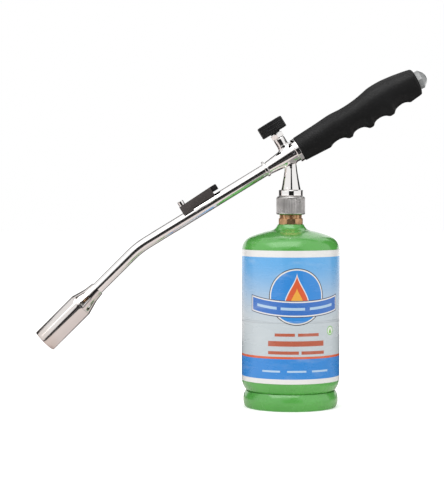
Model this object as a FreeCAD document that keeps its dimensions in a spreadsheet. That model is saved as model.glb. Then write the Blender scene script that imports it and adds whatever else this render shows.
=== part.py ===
import FreeCAD, Part
import math
import os
import re
import Sketcher

# Self-igniting propane torch on a refillable fuel cylinder.
# Origin: centre of the foot ring on the floor. +Z up along the cylinder, +X towards the handle.
# The torch's own axis leans by torch_pitch and meets the cylinder's axis at junction_height.

os.makedirs("parts", exist_ok=True)
doc = FreeCAD.newDocument("propane_torch")
sheet = doc.addObject("Spreadsheet::Sheet", "Sizes")

SIZES = {
    # clearances
    "snug": 0.05,
    "running": 0.08,
    "easy": 0.3,
    # fuel cylinder
    "shell_radius": 48.6,
    "shell_wall": 1.2,
    "shell_low": 28,
    "shell_high": 157.5,
    "lower_head_depth": 24.5,
    "lower_knuckle": 16,
    "upper_head_depth": 20.7,
    "upper_knuckle": 14,
    "seam_height": 88,
    "weld_width": 2.4,
    "foot_height": 16.5,
    "foot_setback": 1.3,
    "foot_bulge_height": 8.5,
    "lip_setback": 3,
    "foot_curl": 2.2,
    "foot_wall": 1.2,
    "label_low": 27.5,
    "label_high": 158,
    "label_thickness": 0.35,
    # cylinder valve, with the 1 inch 20 threads per inch outlet
    "boss_foot": 19,
    "boss_radius": 13.4,
    "boss_rise": 4.5,
    "shank_radius": 10.5,
    "shank_depth": 15,
    "valve_collar_radius": 12.6,
    "valve_collar_height": 5.9,
    "thread_undercut": 1.5,
    "valve_neck_height": 3.5,
    "thread_radius": 12.6,
    "thread_length": 11,
    "socket_radius": 5.2,
    "socket_depth": 7,
    "pin_radius": 1.2,
    "pin_hole": 1.9,
    "poppet_radius": 4.2,
    "poppet_chamber": 5,
    "poppet_travel": 1.8,
    "poppet_head": 2.4,
    "poppet_tail": 7,
    "poppet_seal_height": 1.2,
    "plug_height": 4,
    "outlet_edge": 0.6,
    "thread_edge": 0.8,
    "valve_collar_edge": 0.5,
    "probe_gap": 0.3,
    # swivel nut and inlet
    "nut_wall": 1.67,
    "nut_edge": 0.6,
    "nut_length": 18,
    "nut_web": 5,
    "nut_ridges": 60,
    "nut_ridge_depth": 0.35,
    "stem_radius": 9,
    "flange_gap": 0.38,
    "stem_flange_height": 1.4,
    "seal_thickness": 0.9,
    "nose_radius": 4.9,
    "nose_length": 3,
    "collar_radius": 12.5,
    "collar_height": 6.4,
    "collar_edge": 0.7,
    "spigot_radius": 6,
    "spigot_length": 5,
    "probe_radius": 2.8,
    "probe_tip": 1.5,
    "inlet_bore": 1.6,
    "filter_radius": 4,
    "filter_height": 2.6,
    "inlet_cone_foot": 10,
    "inlet_cone_top": 5.3,
    # torch body
    "torch_pitch": 31.5,
    "junction_height": 252.5,
    "body_front": -27,
    "body_front_radius": 6.6,
    "body_rear": 5.6,
    "body_rear_radius": 10.3,
    "flange_radius": 12.2,
    "flange_face": 10,
    "body_tail": 24,
    "body_tail_radius": 8,
    "body_nose_length": 10,
    "post_station": -2.2,
    "post_radius": 6.1,
    "post_height": 12,
    "chamber_radius": 3,
    "chamber_floor": 2.6,
    "seat_radius": 1.6,
    "seat_floor": 1,
    "seat_top": 3.2,
    "orifice": 0.7,
    "bonnet_radius": 5.8,
    "bonnet_top": 20.4,
    "bonnet_seat": 6,
    "bonnet_edge": 0.4,
    "bonnet_thread": 4,
    "gland_width": 12.4,
    "gland_top": 25,
    "screw_station": 2.7,
    "screw_radius": 1.5,
    # valve stem and knob
    "spindle_radius": 2,
    "spindle_top": 36,
    "ring_groove": 14.5,
    "ring_height": 1.5,
    "ring_depth": 0.7,
    "knob_radius": 13.75,
    "knob_low": 26.7,
    "knob_high": 38.6,
    "knob_ridges": 48,
    "knob_ridge_depth": 0.45,
    "knob_hub": 5,
    "knob_hub_drop": 1.2,
    "knob_recess": 4,
    "knob_rim": 2.4,
    "knob_edge": 0.8,
    "cap_screw_head": 3.2,
    # neck tube with what runs inside it
    "tube_radius": 6.15,
    "tube_wall": 1,
    "bend_station": -178.7,
    "bend_angle": 13.3,
    "bend_radius": 90,
    "far_length": 132.8,
    "line_radius": 2,
    "line_bore": 1.2,
    "line_offset": 1.6,
    "lead_radius": 1,
    "lead_offset": 3.6,
    "lead_rear": 94.5,
    "ring_station": -30.4,
    "ring_wall": 1.35,
    "ring_edge": 0.4,
    "ring_pin_radius": 1.1,
    "ring_pin_height": 1.4,
    # burner, measured back from its mouth
    "barrel_radius": 12.4,
    "barrel_wall": 1.1,
    "mouth_wall": 0.7,
    "mouth_depth": 24,
    "barrel_length": 51.2,
    "cone_overlap": 5,
    "cone_wall": 0.9,
    "cone_waist": 65,
    "cone_waist_gap": 2.25,
    "cone_end": 75,
    "cone_end_gap": 0.95,
    "air_slots": 8,
    "slot_wide": 1.5,
    "slot_narrow": 0.5,
    "tube_end": 66,
    "jet_radius": 1.9,
    "jet_front": 55,
    "jet_throat": 0.25,
    "jet_bore": 0.8,
    "jet_taper": 1.2,
    "holder_station": 38,
    "holder_thickness": 1.2,
    "holder_eye": 2.2,
    "inner_ports": 6,
    "inner_port_radius": 0.9,
    "inner_port_circle": 4.7,
    "outer_ports": 12,
    "outer_port_radius": 1.4,
    "outer_port_circle": 8.6,
    "insulator_radius": 1.2,
    "insulator_front": 33,
    "insulator_rear": 80,
    "electrode_radius": 0.45,
    "electrode_front": 27,
    "electrode_rear": 84,
    "electrode_reach": 4.6,
    "electrode_bend": 1.6,
    # rest on the neck tube
    "saddle_front": -111.2,
    "saddle_rear": -85.8,
    "saddle_wall": 0.9,
    "block_front": -122.5,
    "block_rear": -86,
    "block_foot_rear": -111.4,
    "block_foot": 3.2,
    "block_width": 13,
    "block_front_top": 13.1,
    "block_rear_top": 14.4,
    "pad_rear": -79.5,
    "pad_low": 8.5,
    "pad_width": 11,
    "knurl_station": -119,
    "knurl_radius": 3.2,
    "knurl_rise": 4.6,
    # handle
    "grip_front": 10,
    "grip_rear": 146,
    "grip_dome": 70,
    "grip_front_radius": 12.65,
    "core_radius": 9.6,
    "core_rear": 93,
    "grooves": 4,
    "groove_first": 48,
    "groove_pitch": 24,
    "groove_radius": 11,
    "groove_depth": 4,
    # igniter, measured along the button's own axis
    "button_station": 146,
    "button_drop": 3.5,
    "button_tilt": 5,
    "button_radius": 9.4,
    "button_shoulder": 3.7,
    "button_height": 9,
    "button_flat": 2.6,
    "button_skirt": 14,
    "button_wall": 1.6,
    "button_rim": 0.25,
    "button_travel": 6,
    "guide_wall": 1.1,
    "guide_depth": 21,
    "guide_recess": 2.6,
    "piezo_radius": 6.8,
    "piezo_front": 50,
    "piezo_rear": 23,
    "plunger_radius": 3.6,
    "spring_wire": 0.7,
}

for row, (name, value) in enumerate(SIZES.items(), start=1):
    sheet.set(f"A{row}", name)
    sheet.set(f"B{row}", str(value))
    sheet.setAlias(f"B{row}", name)
doc.recompute()

NAME = re.compile(r"\b[a-z][a-z_]*[a-z]\b")
parts = []


def value(formula):
    """Number that a formula over the sheet's names gives."""
    result = sheet.evalExpression(str(formula))
    return float(getattr(result, "Value", result))


def bound(formula):
    """The same formula as an expression that other objects can hold."""
    return NAME.sub(lambda m: "Sizes." + m.group(0) if m.group(0) in SIZES else m.group(0), str(formula))


def drive(target, prop, formula):
    """Tie one property to a formula over the sheet."""
    target.setExpression(prop, bound(formula))


# Directions of the torch's axis and of the far run behind the burner
ALONG_X = "cos(torch_pitch * 1 deg)"
ALONG_Z = "sin(torch_pitch * 1 deg)"
FAR_X = "cos((torch_pitch + bend_angle) * 1 deg)"
FAR_Z = "sin((torch_pitch + bend_angle) * 1 deg)"

# Each frame: x, y and z of its origin, and how far its own X axis is raised
FLOOR = ("0", "0", "0", None)
MAIN = ("0", "0", "junction_height", "torch_pitch")


def square_to_axis(station):
    """Frame at a station of the torch's axis, its Z axis square to that axis."""
    return (f"({station}) * {ALONG_X}", "0", f"junction_height + ({station}) * {ALONG_Z}", "torch_pitch")


POST = square_to_axis("post_station")
FAR = (
    f"bend_station * {ALONG_X} - far_length * {FAR_X}",
    "0",
    f"junction_height + bend_station * {ALONG_Z} - far_length * {FAR_Z}",
    "torch_pitch + bend_angle",
)
BUTTON = (
    f"button_station * {ALONG_X} + button_drop * {ALONG_Z}",
    "0",
    f"junction_height + button_station * {ALONG_Z} - button_drop * {ALONG_X}",
    "torch_pitch - button_tilt",
)


def shifted(frame, offset):
    """The same frame, moved sideways along Y."""
    return (frame[0], offset, frame[2], frame[3])


def finish(item, node, frame):
    """Name a finished sub-part and put it in its frame."""
    doc.recompute()
    item.Label = node
    if frame[3] is not None:
        item.Placement = FreeCAD.Placement(
            FreeCAD.Vector(0, 0, 0),
            FreeCAD.Rotation(FreeCAD.Vector(0, -1, 0), value(frame[3])),
        )
        drive(item, "Placement.Rotation.Angle", f"({frame[3]}) * 1 deg")
    for axis, formula in zip("xyz", frame):
        if formula != "0":
            drive(item, f"Placement.Base.{axis}", f"({formula}) * 1 mm")
    parts.append(item)
    return item


def new_body(node):
    return doc.addObject("PartDesign::Body", node + "_body")


def new_sketch(body, name, role, offset=None):
    """Sketch on one of the body's own origin planes, moved along its normal if asked."""
    sketch = body.newObject("Sketcher::SketchObject", name)
    plane = [item for item in body.Origin.OriginFeatures if item.Role == role][0]
    sketch.AttachmentSupport = [(plane, "")]
    sketch.MapMode = "FlatFace"
    if offset is not None:
        drive(sketch, "AttachmentOffset.Base.z", f"({offset}) * 1 mm")
    return sketch


def pin_down(sketch, geometry, point, x, y):
    """Hold one vertex at x, y."""
    if str(x) == "0":
        sketch.addConstraint(Sketcher.Constraint("PointOnObject", geometry, point, -2))
    else:
        index = sketch.addConstraint(Sketcher.Constraint("DistanceX", -1, 1, geometry, point, value(x)))
        drive(sketch, f"Constraints[{index}]", x)
    if str(y) == "0":
        sketch.addConstraint(Sketcher.Constraint("PointOnObject", geometry, point, -1))
    else:
        index = sketch.addConstraint(Sketcher.Constraint("DistanceY", -1, 1, geometry, point, value(y)))
        drive(sketch, f"Constraints[{index}]", y)


def trace(sketch, outline, closed=True):
    """Draw an outline: (x, y) is a straight run to there, (via x, via y, x, y) an arc."""
    ends = [(step[-2], step[-1]) for step in outline]
    count = len(outline)
    runs = []
    for index in range(1, count + 1 if closed else count):
        start = ends[index - 1]
        step = outline[index % count]
        stop = (step[-2], step[-1])
        first = FreeCAD.Vector(value(start[0]), value(start[1]), 0)
        last = FreeCAD.Vector(value(stop[0]), value(stop[1]), 0)
        if len(step) == 4:
            via = FreeCAD.Vector(value(step[0]), value(step[1]), 0)
            edge = Part.Arc(first, via, last)
            run = sketch.addGeometry(edge, False)
            turn = (via - first).cross(last - via).z
            runs.append((run, 1, 2) if turn > 0 else (run, 2, 1))
            point = sketch.addGeometry(Part.Point(via), True)
            sketch.addConstraint(Sketcher.Constraint("PointOnObject", point, 1, run))
            pin_down(sketch, point, 1, step[0], step[1])
        else:
            run = sketch.addGeometry(Part.LineSegment(first, last), False)
            runs.append((run, 1, 2))
    for index, (run, head, tail) in enumerate(runs):
        pin_down(sketch, run, head, *ends[index])
        if index + 1 < len(runs):
            following = runs[index + 1]
            sketch.addConstraint(Sketcher.Constraint("Coincident", run, tail, following[0], following[1]))
        elif closed:
            sketch.addConstraint(Sketcher.Constraint("Coincident", run, tail, runs[0][0], runs[0][1]))
        else:
            pin_down(sketch, run, tail, *ends[index + 1])


def ring(sketch, radius, x="0", y="0"):
    """Circle of a given radius about a point."""
    centre = FreeCAD.Vector(value(x), value(y), 0)
    circle = sketch.addGeometry(Part.Circle(centre, FreeCAD.Vector(0, 0, 1), value(radius)), False)
    if str(x) == "0" and str(y) == "0":
        sketch.addConstraint(Sketcher.Constraint("Coincident", circle, 3, -1, 1))
    else:
        pin_down(sketch, circle, 3, x, y)
    index = sketch.addConstraint(Sketcher.Constraint("Radius", circle, value(radius)))
    drive(sketch, f"Constraints[{index}]", radius)


def turned(node, outline, about="V"):
    """Solid of revolution about the frame's Z axis (V) or X axis (H)."""
    body = new_body(node)
    sketch = new_sketch(body, node + "_section", "XZ_Plane")
    trace(sketch, outline)
    spin = body.newObject("PartDesign::Revolution", node + "_turned")
    spin.Profile = sketch
    spin.ReferenceAxis = (sketch, [about + "_Axis"])
    spin.Angle = 360
    doc.recompute()
    return body


def bar(node, profile, width):
    """Side outline in the XZ plane, padded to both sides."""
    body = new_body(node)
    sketch = new_sketch(body, node + "_side", "XZ_Plane")
    trace(sketch, profile)
    pad = body.newObject("PartDesign::Pad", node + "_pad")
    pad.Profile = sketch
    pad.Midplane = True
    drive(pad, "Length", width)
    doc.recompute()
    return body


def drill(name, radius, length, base, towards):
    """Straight round tool or rod from a base point, in the same frame as what it meets."""
    rod = doc.addObject("Part::Cylinder", name)
    drive(rod, "Radius", radius)
    drive(rod, "Height", length)
    rod.Placement.Rotation = FreeCAD.Rotation(FreeCAD.Vector(0, 0, 1), FreeCAD.Vector(*towards))
    for axis, formula in zip("xyz", base):
        drive(rod, f"Placement.Base.{axis}", f"({formula}) * 1 mm")
    return rod


def cut(name, base, tools):
    """Base with every tool taken out, one after another."""
    for index, tool in enumerate(tools):
        step = doc.addObject("Part::Cut", f"{name}_cut_{index}")
        step.Base = base
        step.Tool = tool
        base = step
    doc.recompute()
    return base


def fused(name, items):
    union = doc.addObject("Part::MultiFuse", name + "_union")
    union.Shapes = items
    union.Refine = True
    doc.recompute()
    return union


def pipe(node, path, radius, hole=None, plane="XZ_Plane"):
    """Round bar or tube that follows an open path, which starts along X."""
    body = new_body(node)
    spine = new_sketch(body, node + "_path", plane)
    trace(spine, path, closed=False)
    section = new_sketch(body, node + "_ring", "YZ_Plane", path[0][0])
    ring(section, radius)
    if hole is not None:
        ring(section, hole)
    doc.recompute()
    sweep = body.newObject("PartDesign::AdditivePipe", node + "_pipe")
    sweep.Profile = section
    sweep.Spine = (spine, [f"Edge{index}" for index in range(1, len(path))])
    doc.recompute()
    return body


def coil(name, radius, wire, turns, low, length):
    """Helical spring about the frame's Z axis, from low upwards."""
    helix = doc.addObject("Part::Helix", name + "_helix")
    drive(helix, "Radius", radius)
    drive(helix, "Height", f"({length}) - 2 * ({wire})")
    drive(helix, "Pitch", f"(({length}) - 2 * ({wire})) / {turns}")
    helix.SegmentLength = 1
    drive(helix, "Placement.Base.z", f"(({low}) + ({wire})) * 1 mm")
    circle = doc.addObject("Part::Circle", name + "_wire")
    drive(circle, "Radius", wire)
    circle.Placement.Rotation = FreeCAD.Rotation(FreeCAD.Vector(1, 0, 0), 90)
    drive(circle, "Placement.Base.x", f"({radius}) * 1 mm")
    drive(circle, "Placement.Base.z", f"(({low}) + ({wire})) * 1 mm")
    doc.recompute()
    sweep = doc.addObject("Part::Sweep", name + "_coil")
    sweep.Sections = [circle]
    sweep.Spine = (helix, [f"Edge{index + 1}" for index in range(len(helix.Shape.Edges))])
    sweep.Solid = True
    sweep.Frenet = True
    doc.recompute()
    return sweep


def repeated(body, feature, axis_role, count):
    """Repeat a feature of a body about one of the body's own axes."""
    pattern = body.newObject("PartDesign::PolarPattern", feature.Name + "_pattern")
    pattern.Originals = [feature]
    axis = [item for item in body.Origin.OriginFeatures if item.Role == axis_role][0]
    pattern.Axis = (axis, [""])
    pattern.Angle = 360
    drive(pattern, "Occurrences", count)
    body.Tip = pattern
    doc.recompute()


# ---------------------------------------------------------------- fuel cylinder


def head(level, depth, knuckle, way, inset, inwards):
    """Steps of a dished head's outline: a knuckle arc and a crown arc, way +1 up or -1 down."""
    reach = f"(shell_radius - {knuckle})"
    crown = f"(({reach}^2 + {depth}^2 - {knuckle}^2) / (2 * ({depth} - {knuckle})))"
    side = f"({reach} / ({crown} - {knuckle}))"
    rise = f"(({crown} - {depth}) / ({crown} - {knuckle}))"
    spread = f"sqrt((1 + {side})^2 + {rise}^2)"
    top_radius = f"({crown} - {inset})"
    bend_radius = f"({knuckle} - {inset})"
    wall = (f"shell_radius - {inset}", level)
    bend = (f"{reach} + {bend_radius} * (1 + {side}) / {spread}", f"{level} + {way} * {bend_radius} * {rise} / {spread}")
    tangent = (f"{top_radius} * {side}", f"{level} + {way} * ({top_radius} * {rise} - {crown} + {depth})")

    def on_crown(radius):
        drop = f"sqrt({top_radius}^2 - ({radius})^2)"
        return (f"{radius}", f"{level} + {way} * ({drop} - {crown} + {depth})")

    if inwards is not None:
        edge = on_crown(inwards)
        half = on_crown(f"({tangent[0]} + {inwards}) / 2")
    else:
        edge = ("0", f"{level} + {way} * ({depth} - {inset})")
        half = on_crown(f"({tangent[0]}) / 2")
    return wall, bend, tangent, half, edge


def dished(level, depth, knuckle, way, seam, opening):
    """Closed outline of one half shell: outside from the seam, then back along the inside."""
    wall, bend, tangent, half, edge = head(level, depth, knuckle, way, "0", opening)
    inner_wall, inner_bend, inner_tangent, inner_half, inner_edge = head(
        level, depth, knuckle, way, "shell_wall", opening
    )
    return [
        ("shell_radius", seam),
        wall,
        bend + tangent,
        half + edge,
        inner_edge,
        inner_half + inner_tangent,
        inner_bend + inner_wall,
        ("shell_radius - shell_wall", seam),
    ]


BORE = "(shank_radius + snug)"
lower = dished("shell_low", "lower_head_depth", "lower_knuckle", -1, "seam_height - weld_width / 2", None)
finish(turned("lower_shell", lower), "lower_shell", FLOOR)
upper = dished("shell_high", "upper_head_depth", "upper_knuckle", 1, "seam_height + weld_width / 2", BORE)
finish(turned("upper_shell", upper), "upper_shell", FLOOR)

weld = [
    ("shell_radius", "seam_height - weld_width / 2"),
    ("shell_radius", "seam_height + weld_width / 2"),
    ("shell_radius - shell_wall", "seam_height + weld_width / 2"),
    ("shell_radius - shell_wall - 0.6", "seam_height"),
    ("shell_radius - shell_wall", "seam_height - weld_width / 2"),
]
finish(turned("girth_weld", weld), "girth_weld", FLOOR)

# The foot ring's top edge meets the lower head's knuckle
FOOT_SEAT = "(shell_radius - lower_knuckle + sqrt(lower_knuckle^2 - (shell_low - foot_height)^2))"
FOOT_BULGE = "(shell_radius - foot_setback)"
FOOT_LIP = "(shell_radius - lip_setback)"
foot = [
    (f"{FOOT_BULGE} - foot_wall", "foot_bulge_height", f"{FOOT_SEAT} + snug", "foot_height"),
    (f"{FOOT_SEAT} + snug + foot_wall", "foot_height"),
    (FOOT_BULGE, "foot_bulge_height", FOOT_LIP, "foot_wall / 2"),
    (f"{FOOT_LIP} - foot_wall / 2", "0"),
    (f"{FOOT_LIP} - foot_wall - foot_curl", "0"),
    (f"{FOOT_LIP} - foot_wall - foot_curl", "foot_wall"),
    (f"{FOOT_LIP} - 1.6 * foot_wall", "foot_wall"),
]
finish(turned("foot_ring", foot), "foot_ring", FLOOR)

label = [
    ("shell_radius + snug", "label_low"),
    ("shell_radius + snug + label_thickness", "label_low"),
    ("shell_radius + snug + label_thickness", "label_high"),
    ("shell_radius + snug", "label_high"),
]
finish(turned("label_sleeve", label), "label_sleeve", FLOOR)

# ---------------------------------------------------------------- cylinder valve

HEAD_TOP = "(shell_high + upper_head_depth)"
BOSS_CROWN = (
    "(((shell_radius - upper_knuckle)^2 + upper_head_depth^2 - upper_knuckle^2)"
    " / (2 * (upper_head_depth - upper_knuckle)))"
)
BOSS_TOP = f"({HEAD_TOP} + boss_rise)"


def crown_height(radius):
    """Height of the upper head's outside at a radius, with a little clearance."""
    return f"{HEAD_TOP} + snug - {BOSS_CROWN} + sqrt({BOSS_CROWN}^2 - ({radius})^2)"


boss = [
    (BORE, BOSS_TOP),
    (BORE, crown_height(BORE)),
    (f"({BORE} + boss_foot) / 2", crown_height(f"({BORE} + boss_foot) / 2"), "boss_foot", crown_height("boss_foot")),
    ("boss_foot", f"{HEAD_TOP} - 0.3"),
    ("boss_radius + 1.6", f"{HEAD_TOP} + 1.2", "boss_radius", f"{BOSS_TOP} - 1"),
    ("boss_radius - 1", BOSS_TOP),
]
finish(turned("neck_boss", boss), "neck_boss", FLOOR)

COLLAR_TOP = f"({BOSS_TOP} + valve_collar_height)"
VALVE_NECK = "(thread_radius - thread_undercut)"
THREAD_LOW = f"({COLLAR_TOP} + valve_neck_height)"
OUTLET = f"({THREAD_LOW} + thread_length)"
SHANK_LOW = f"({HEAD_TOP} - shank_depth)"
SOCKET_LOW = f"({OUTLET} - socket_depth)"
CHAMBER_TOP = f"({SOCKET_LOW} - plug_height)"
PLUG_TOP = f"({SHANK_LOW} + plug_height)"
valve = [
    ("pin_hole", SOCKET_LOW),
    ("socket_radius", SOCKET_LOW),
    ("socket_radius", f"{OUTLET} - outlet_edge"),
    ("socket_radius + outlet_edge", OUTLET),
    ("thread_radius - thread_edge", OUTLET),
    ("thread_radius", f"{OUTLET} - thread_edge"),
    ("thread_radius", f"{THREAD_LOW} + thread_edge"),
    (VALVE_NECK, THREAD_LOW),
    (VALVE_NECK, COLLAR_TOP),
    ("valve_collar_radius - valve_collar_edge", COLLAR_TOP),
    ("valve_collar_radius", f"{COLLAR_TOP} - valve_collar_edge"),
    ("valve_collar_radius", f"{BOSS_TOP} + snug"),
    ("shank_radius", f"{BOSS_TOP} + snug"),
    ("shank_radius", SHANK_LOW),
    ("poppet_chamber", SHANK_LOW),
    ("poppet_chamber", CHAMBER_TOP),
    ("pin_hole", CHAMBER_TOP),
]
finish(turned("tank_valve", valve), "tank_valve", FLOOR)

plug = [
    ("pin_hole", SHANK_LOW),
    ("poppet_chamber - snug", SHANK_LOW),
    ("poppet_chamber - snug", PLUG_TOP),
    ("pin_hole", PLUG_TOP),
]
finish(turned("valve_plug", plug), "valve_plug", FLOOR)

# The poppet's seal shuts against the chamber's roof, its pin stands up into the socket
SEAL_TOP = f"({CHAMBER_TOP} - snug)"
HEAD_HIGH = f"({SEAL_TOP} - poppet_seal_height)"
HEAD_LOW = f"({HEAD_HIGH} - poppet_head)"
PIN_TOP = f"({SOCKET_LOW} + 2)"
poppet = [
    ("0", f"{HEAD_LOW} - poppet_tail"),
    ("pin_radius", f"{HEAD_LOW} - poppet_tail"),
    ("pin_radius", HEAD_LOW),
    ("poppet_radius", HEAD_LOW),
    ("poppet_radius", HEAD_HIGH),
    ("pin_radius", HEAD_HIGH),
    ("pin_radius", f"{PIN_TOP} - 0.3"),
    ("pin_radius - 0.3", PIN_TOP),
    ("0", PIN_TOP),
]
finish(turned("valve_poppet", poppet), "valve_poppet", FLOOR)
washer = [
    ("pin_radius + snug", f"{HEAD_HIGH} + 0.01"),
    ("poppet_radius", f"{HEAD_HIGH} + 0.01"),
    ("poppet_radius", SEAL_TOP),
    ("pin_radius + snug", SEAL_TOP),
]
finish(turned("poppet_seal", washer), "poppet_seal", FLOOR)
poppet_coil = coil(
    "poppet_spring", "poppet_radius - 0.9", "spring_wire / 2", 6, f"{PLUG_TOP} + snug",
    f"{HEAD_LOW} - {PLUG_TOP} - 2 * snug",
)
finish(poppet_coil, "poppet_spring", FLOOR)

# ---------------------------------------------------------------- swivel nut and inlet

NUT_LOW = f"({THREAD_LOW} + 0.4)"
NUT_TOP = f"({NUT_LOW} + nut_length)"
WEB_LOW = f"({NUT_TOP} - nut_web)"
NUT_BORE = "(thread_radius + running)"
NUT_RADIUS = f"({NUT_BORE} + nut_wall)"
STEM_FLANGE = f"({NUT_BORE} - flange_gap)"
nut = [
    (NUT_BORE, f"{NUT_LOW} + nut_edge"),
    (f"{NUT_BORE} + nut_edge", NUT_LOW),
    (f"{NUT_RADIUS} - nut_edge", NUT_LOW),
    (NUT_RADIUS, f"{NUT_LOW} + nut_edge"),
    (NUT_RADIUS, f"{NUT_TOP} - nut_edge"),
    (f"{NUT_RADIUS} - nut_edge", NUT_TOP),
    ("stem_radius + running", NUT_TOP),
    ("stem_radius + running", WEB_LOW),
    (NUT_BORE, WEB_LOW),
]
nut_body = turned("swivel_nut", nut)
nut_notch = new_sketch(nut_body, "nut_notch", "XY_Plane")
trace(nut_notch, [
    (f"{NUT_RADIUS} - nut_ridge_depth", "0"),
    (f"{NUT_RADIUS} + nut_ridge_depth", "-2 * nut_ridge_depth"),
    (f"{NUT_RADIUS} + nut_ridge_depth", "2 * nut_ridge_depth"),
])
nut_groove = nut_body.newObject("PartDesign::Pocket", "nut_groove")
nut_groove.Profile = nut_notch
nut_groove.Type = "ThroughAll"
nut_groove.Reversed = True
doc.recompute()
repeated(nut_body, nut_groove, "Z_Axis", "nut_ridges")
finish(nut_body, "swivel_nut", FLOOR)

FLANGE_TOP = f"({WEB_LOW} - running)"
FLANGE_LOW = f"({FLANGE_TOP} - stem_flange_height)"
STEM_TOP = f"({NUT_TOP} + running)"
NOSE_LOW = f"({OUTLET} - nose_length)"
COLLAR_HIGH = f"({STEM_TOP} + collar_height)"
SPIGOT_TOP = f"({COLLAR_HIGH} + spigot_length)"
PROBE_BORE = "(probe_radius + snug)"
stem = [
    (PROBE_BORE, NOSE_LOW),
    ("nose_radius", NOSE_LOW),
    ("nose_radius", FLANGE_LOW),
    (STEM_FLANGE, FLANGE_LOW),
    (STEM_FLANGE, FLANGE_TOP),
    ("stem_radius", FLANGE_TOP),
    ("stem_radius", STEM_TOP),
    ("spigot_radius", STEM_TOP),
    ("spigot_radius", SPIGOT_TOP),
    (PROBE_BORE, SPIGOT_TOP),
]
finish(turned("inlet_stem", stem), "inlet_stem", FLOOR)

seal = [
    ("nose_radius + snug", f"{OUTLET} + snug"),
    ("thread_radius - outlet_edge", f"{OUTLET} + snug"),
    ("thread_radius - outlet_edge", f"{FLANGE_LOW} - snug"),
    ("nose_radius + snug", f"{FLANGE_LOW} - snug"),
]
finish(turned("inlet_seal", seal), "inlet_seal", FLOOR)

PROBE_LOW = f"({PIN_TOP} + probe_gap)"
probe = [
    ("probe_tip / 2", PROBE_LOW),
    ("probe_tip", PROBE_LOW),
    ("probe_tip", NOSE_LOW),
    ("probe_radius", NOSE_LOW),
    ("probe_radius", f"{STEM_TOP} + 1"),
    ("probe_tip / 2", f"{STEM_TOP} + 1"),
]
probe_holes = [
    drill("probe_hole_0", "0.4", "4 * probe_tip", ("-2 * probe_tip", "0", f"{PROBE_LOW} + 0.8"), (1, 0, 0)),
    drill("probe_hole_1", "0.4", "4 * probe_tip", ("0", "-2 * probe_tip", f"{PROBE_LOW} + 0.8"), (0, 1, 0)),
]
finish(cut("inlet_probe", turned("inlet_probe", probe), probe_holes), "inlet_probe", FLOOR)

collar = [
    ("spigot_radius + snug", STEM_TOP),
    ("collar_radius - collar_edge", STEM_TOP),
    ("collar_radius", f"{STEM_TOP} + collar_edge"),
    ("collar_radius", f"{COLLAR_HIGH} - collar_edge"),
    ("collar_radius - collar_edge", COLLAR_HIGH),
    ("spigot_radius + snug", COLLAR_HIGH),
]
finish(turned("inlet_collar", collar), "inlet_collar", FLOOR)

FILTER_LOW = f"({SPIGOT_TOP} + snug)"
mesh = [
    ("0", FILTER_LOW),
    ("filter_radius", FILTER_LOW),
    ("filter_radius", f"{FILTER_LOW} + filter_height"),
    ("0", f"{FILTER_LOW} + filter_height"),
]
finish(turned("inlet_filter", mesh), "inlet_filter", FLOOR)

# ---------------------------------------------------------------- torch body

NOSE_END = "(body_front - body_nose_length)"
TUBE_BORE = "(tube_radius - tube_wall)"
casting = [
    (NOSE_END, "0"),
    (NOSE_END, f"{TUBE_BORE} - snug"),
    ("body_front", f"{TUBE_BORE} - snug"),
    ("body_front", "body_front_radius"),
    ("body_rear", "body_rear_radius"),
    ("body_rear", "flange_radius - 0.5"),
    ("body_rear + 0.5", "flange_radius"),
    ("flange_face - 0.5", "flange_radius"),
    ("flange_face", "flange_radius - 0.5"),
    ("flange_face", "body_tail_radius"),
    ("body_tail", "body_tail_radius"),
    ("body_tail", "0"),
]
casting_barrel = turned("valve_body", casting, "H")
casting_post = drill("casting_post", "post_radius", "post_height", ("post_station", "0", "0"), (0, 0, 1))

# The upright cone is drawn about the cylinder's axis, then leaned back into the torch's frame
LEAN = f"{COLLAR_HIGH} - junction_height"
inlet_cone = doc.addObject("Part::Cone", "inlet_cone")
drive(inlet_cone, "Radius1", "inlet_cone_foot")
drive(inlet_cone, "Radius2", "inlet_cone_top")
drive(inlet_cone, "Height", f"junction_height - {COLLAR_HIGH} - 5")


def upright(item, low):
    """Stand a tool upright on the cylinder's axis at a height, seen from the torch's frame."""
    item.Placement.Rotation = FreeCAD.Rotation(FreeCAD.Vector(0, 1, 0), value("torch_pitch"))
    drive(item, "Placement.Rotation.Angle", "torch_pitch * 1 deg")
    drive(item, "Placement.Base.x", f"(({low}) - junction_height) * {ALONG_Z} * 1 mm")
    drive(item, "Placement.Base.z", f"(({low}) - junction_height) * {ALONG_X} * 1 mm")


def upright_bore(name, radius, low, length):
    rod = doc.addObject("Part::Cylinder", name)
    drive(rod, "Radius", radius)
    drive(rod, "Height", length)
    upright(rod, low)
    return rod


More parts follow.
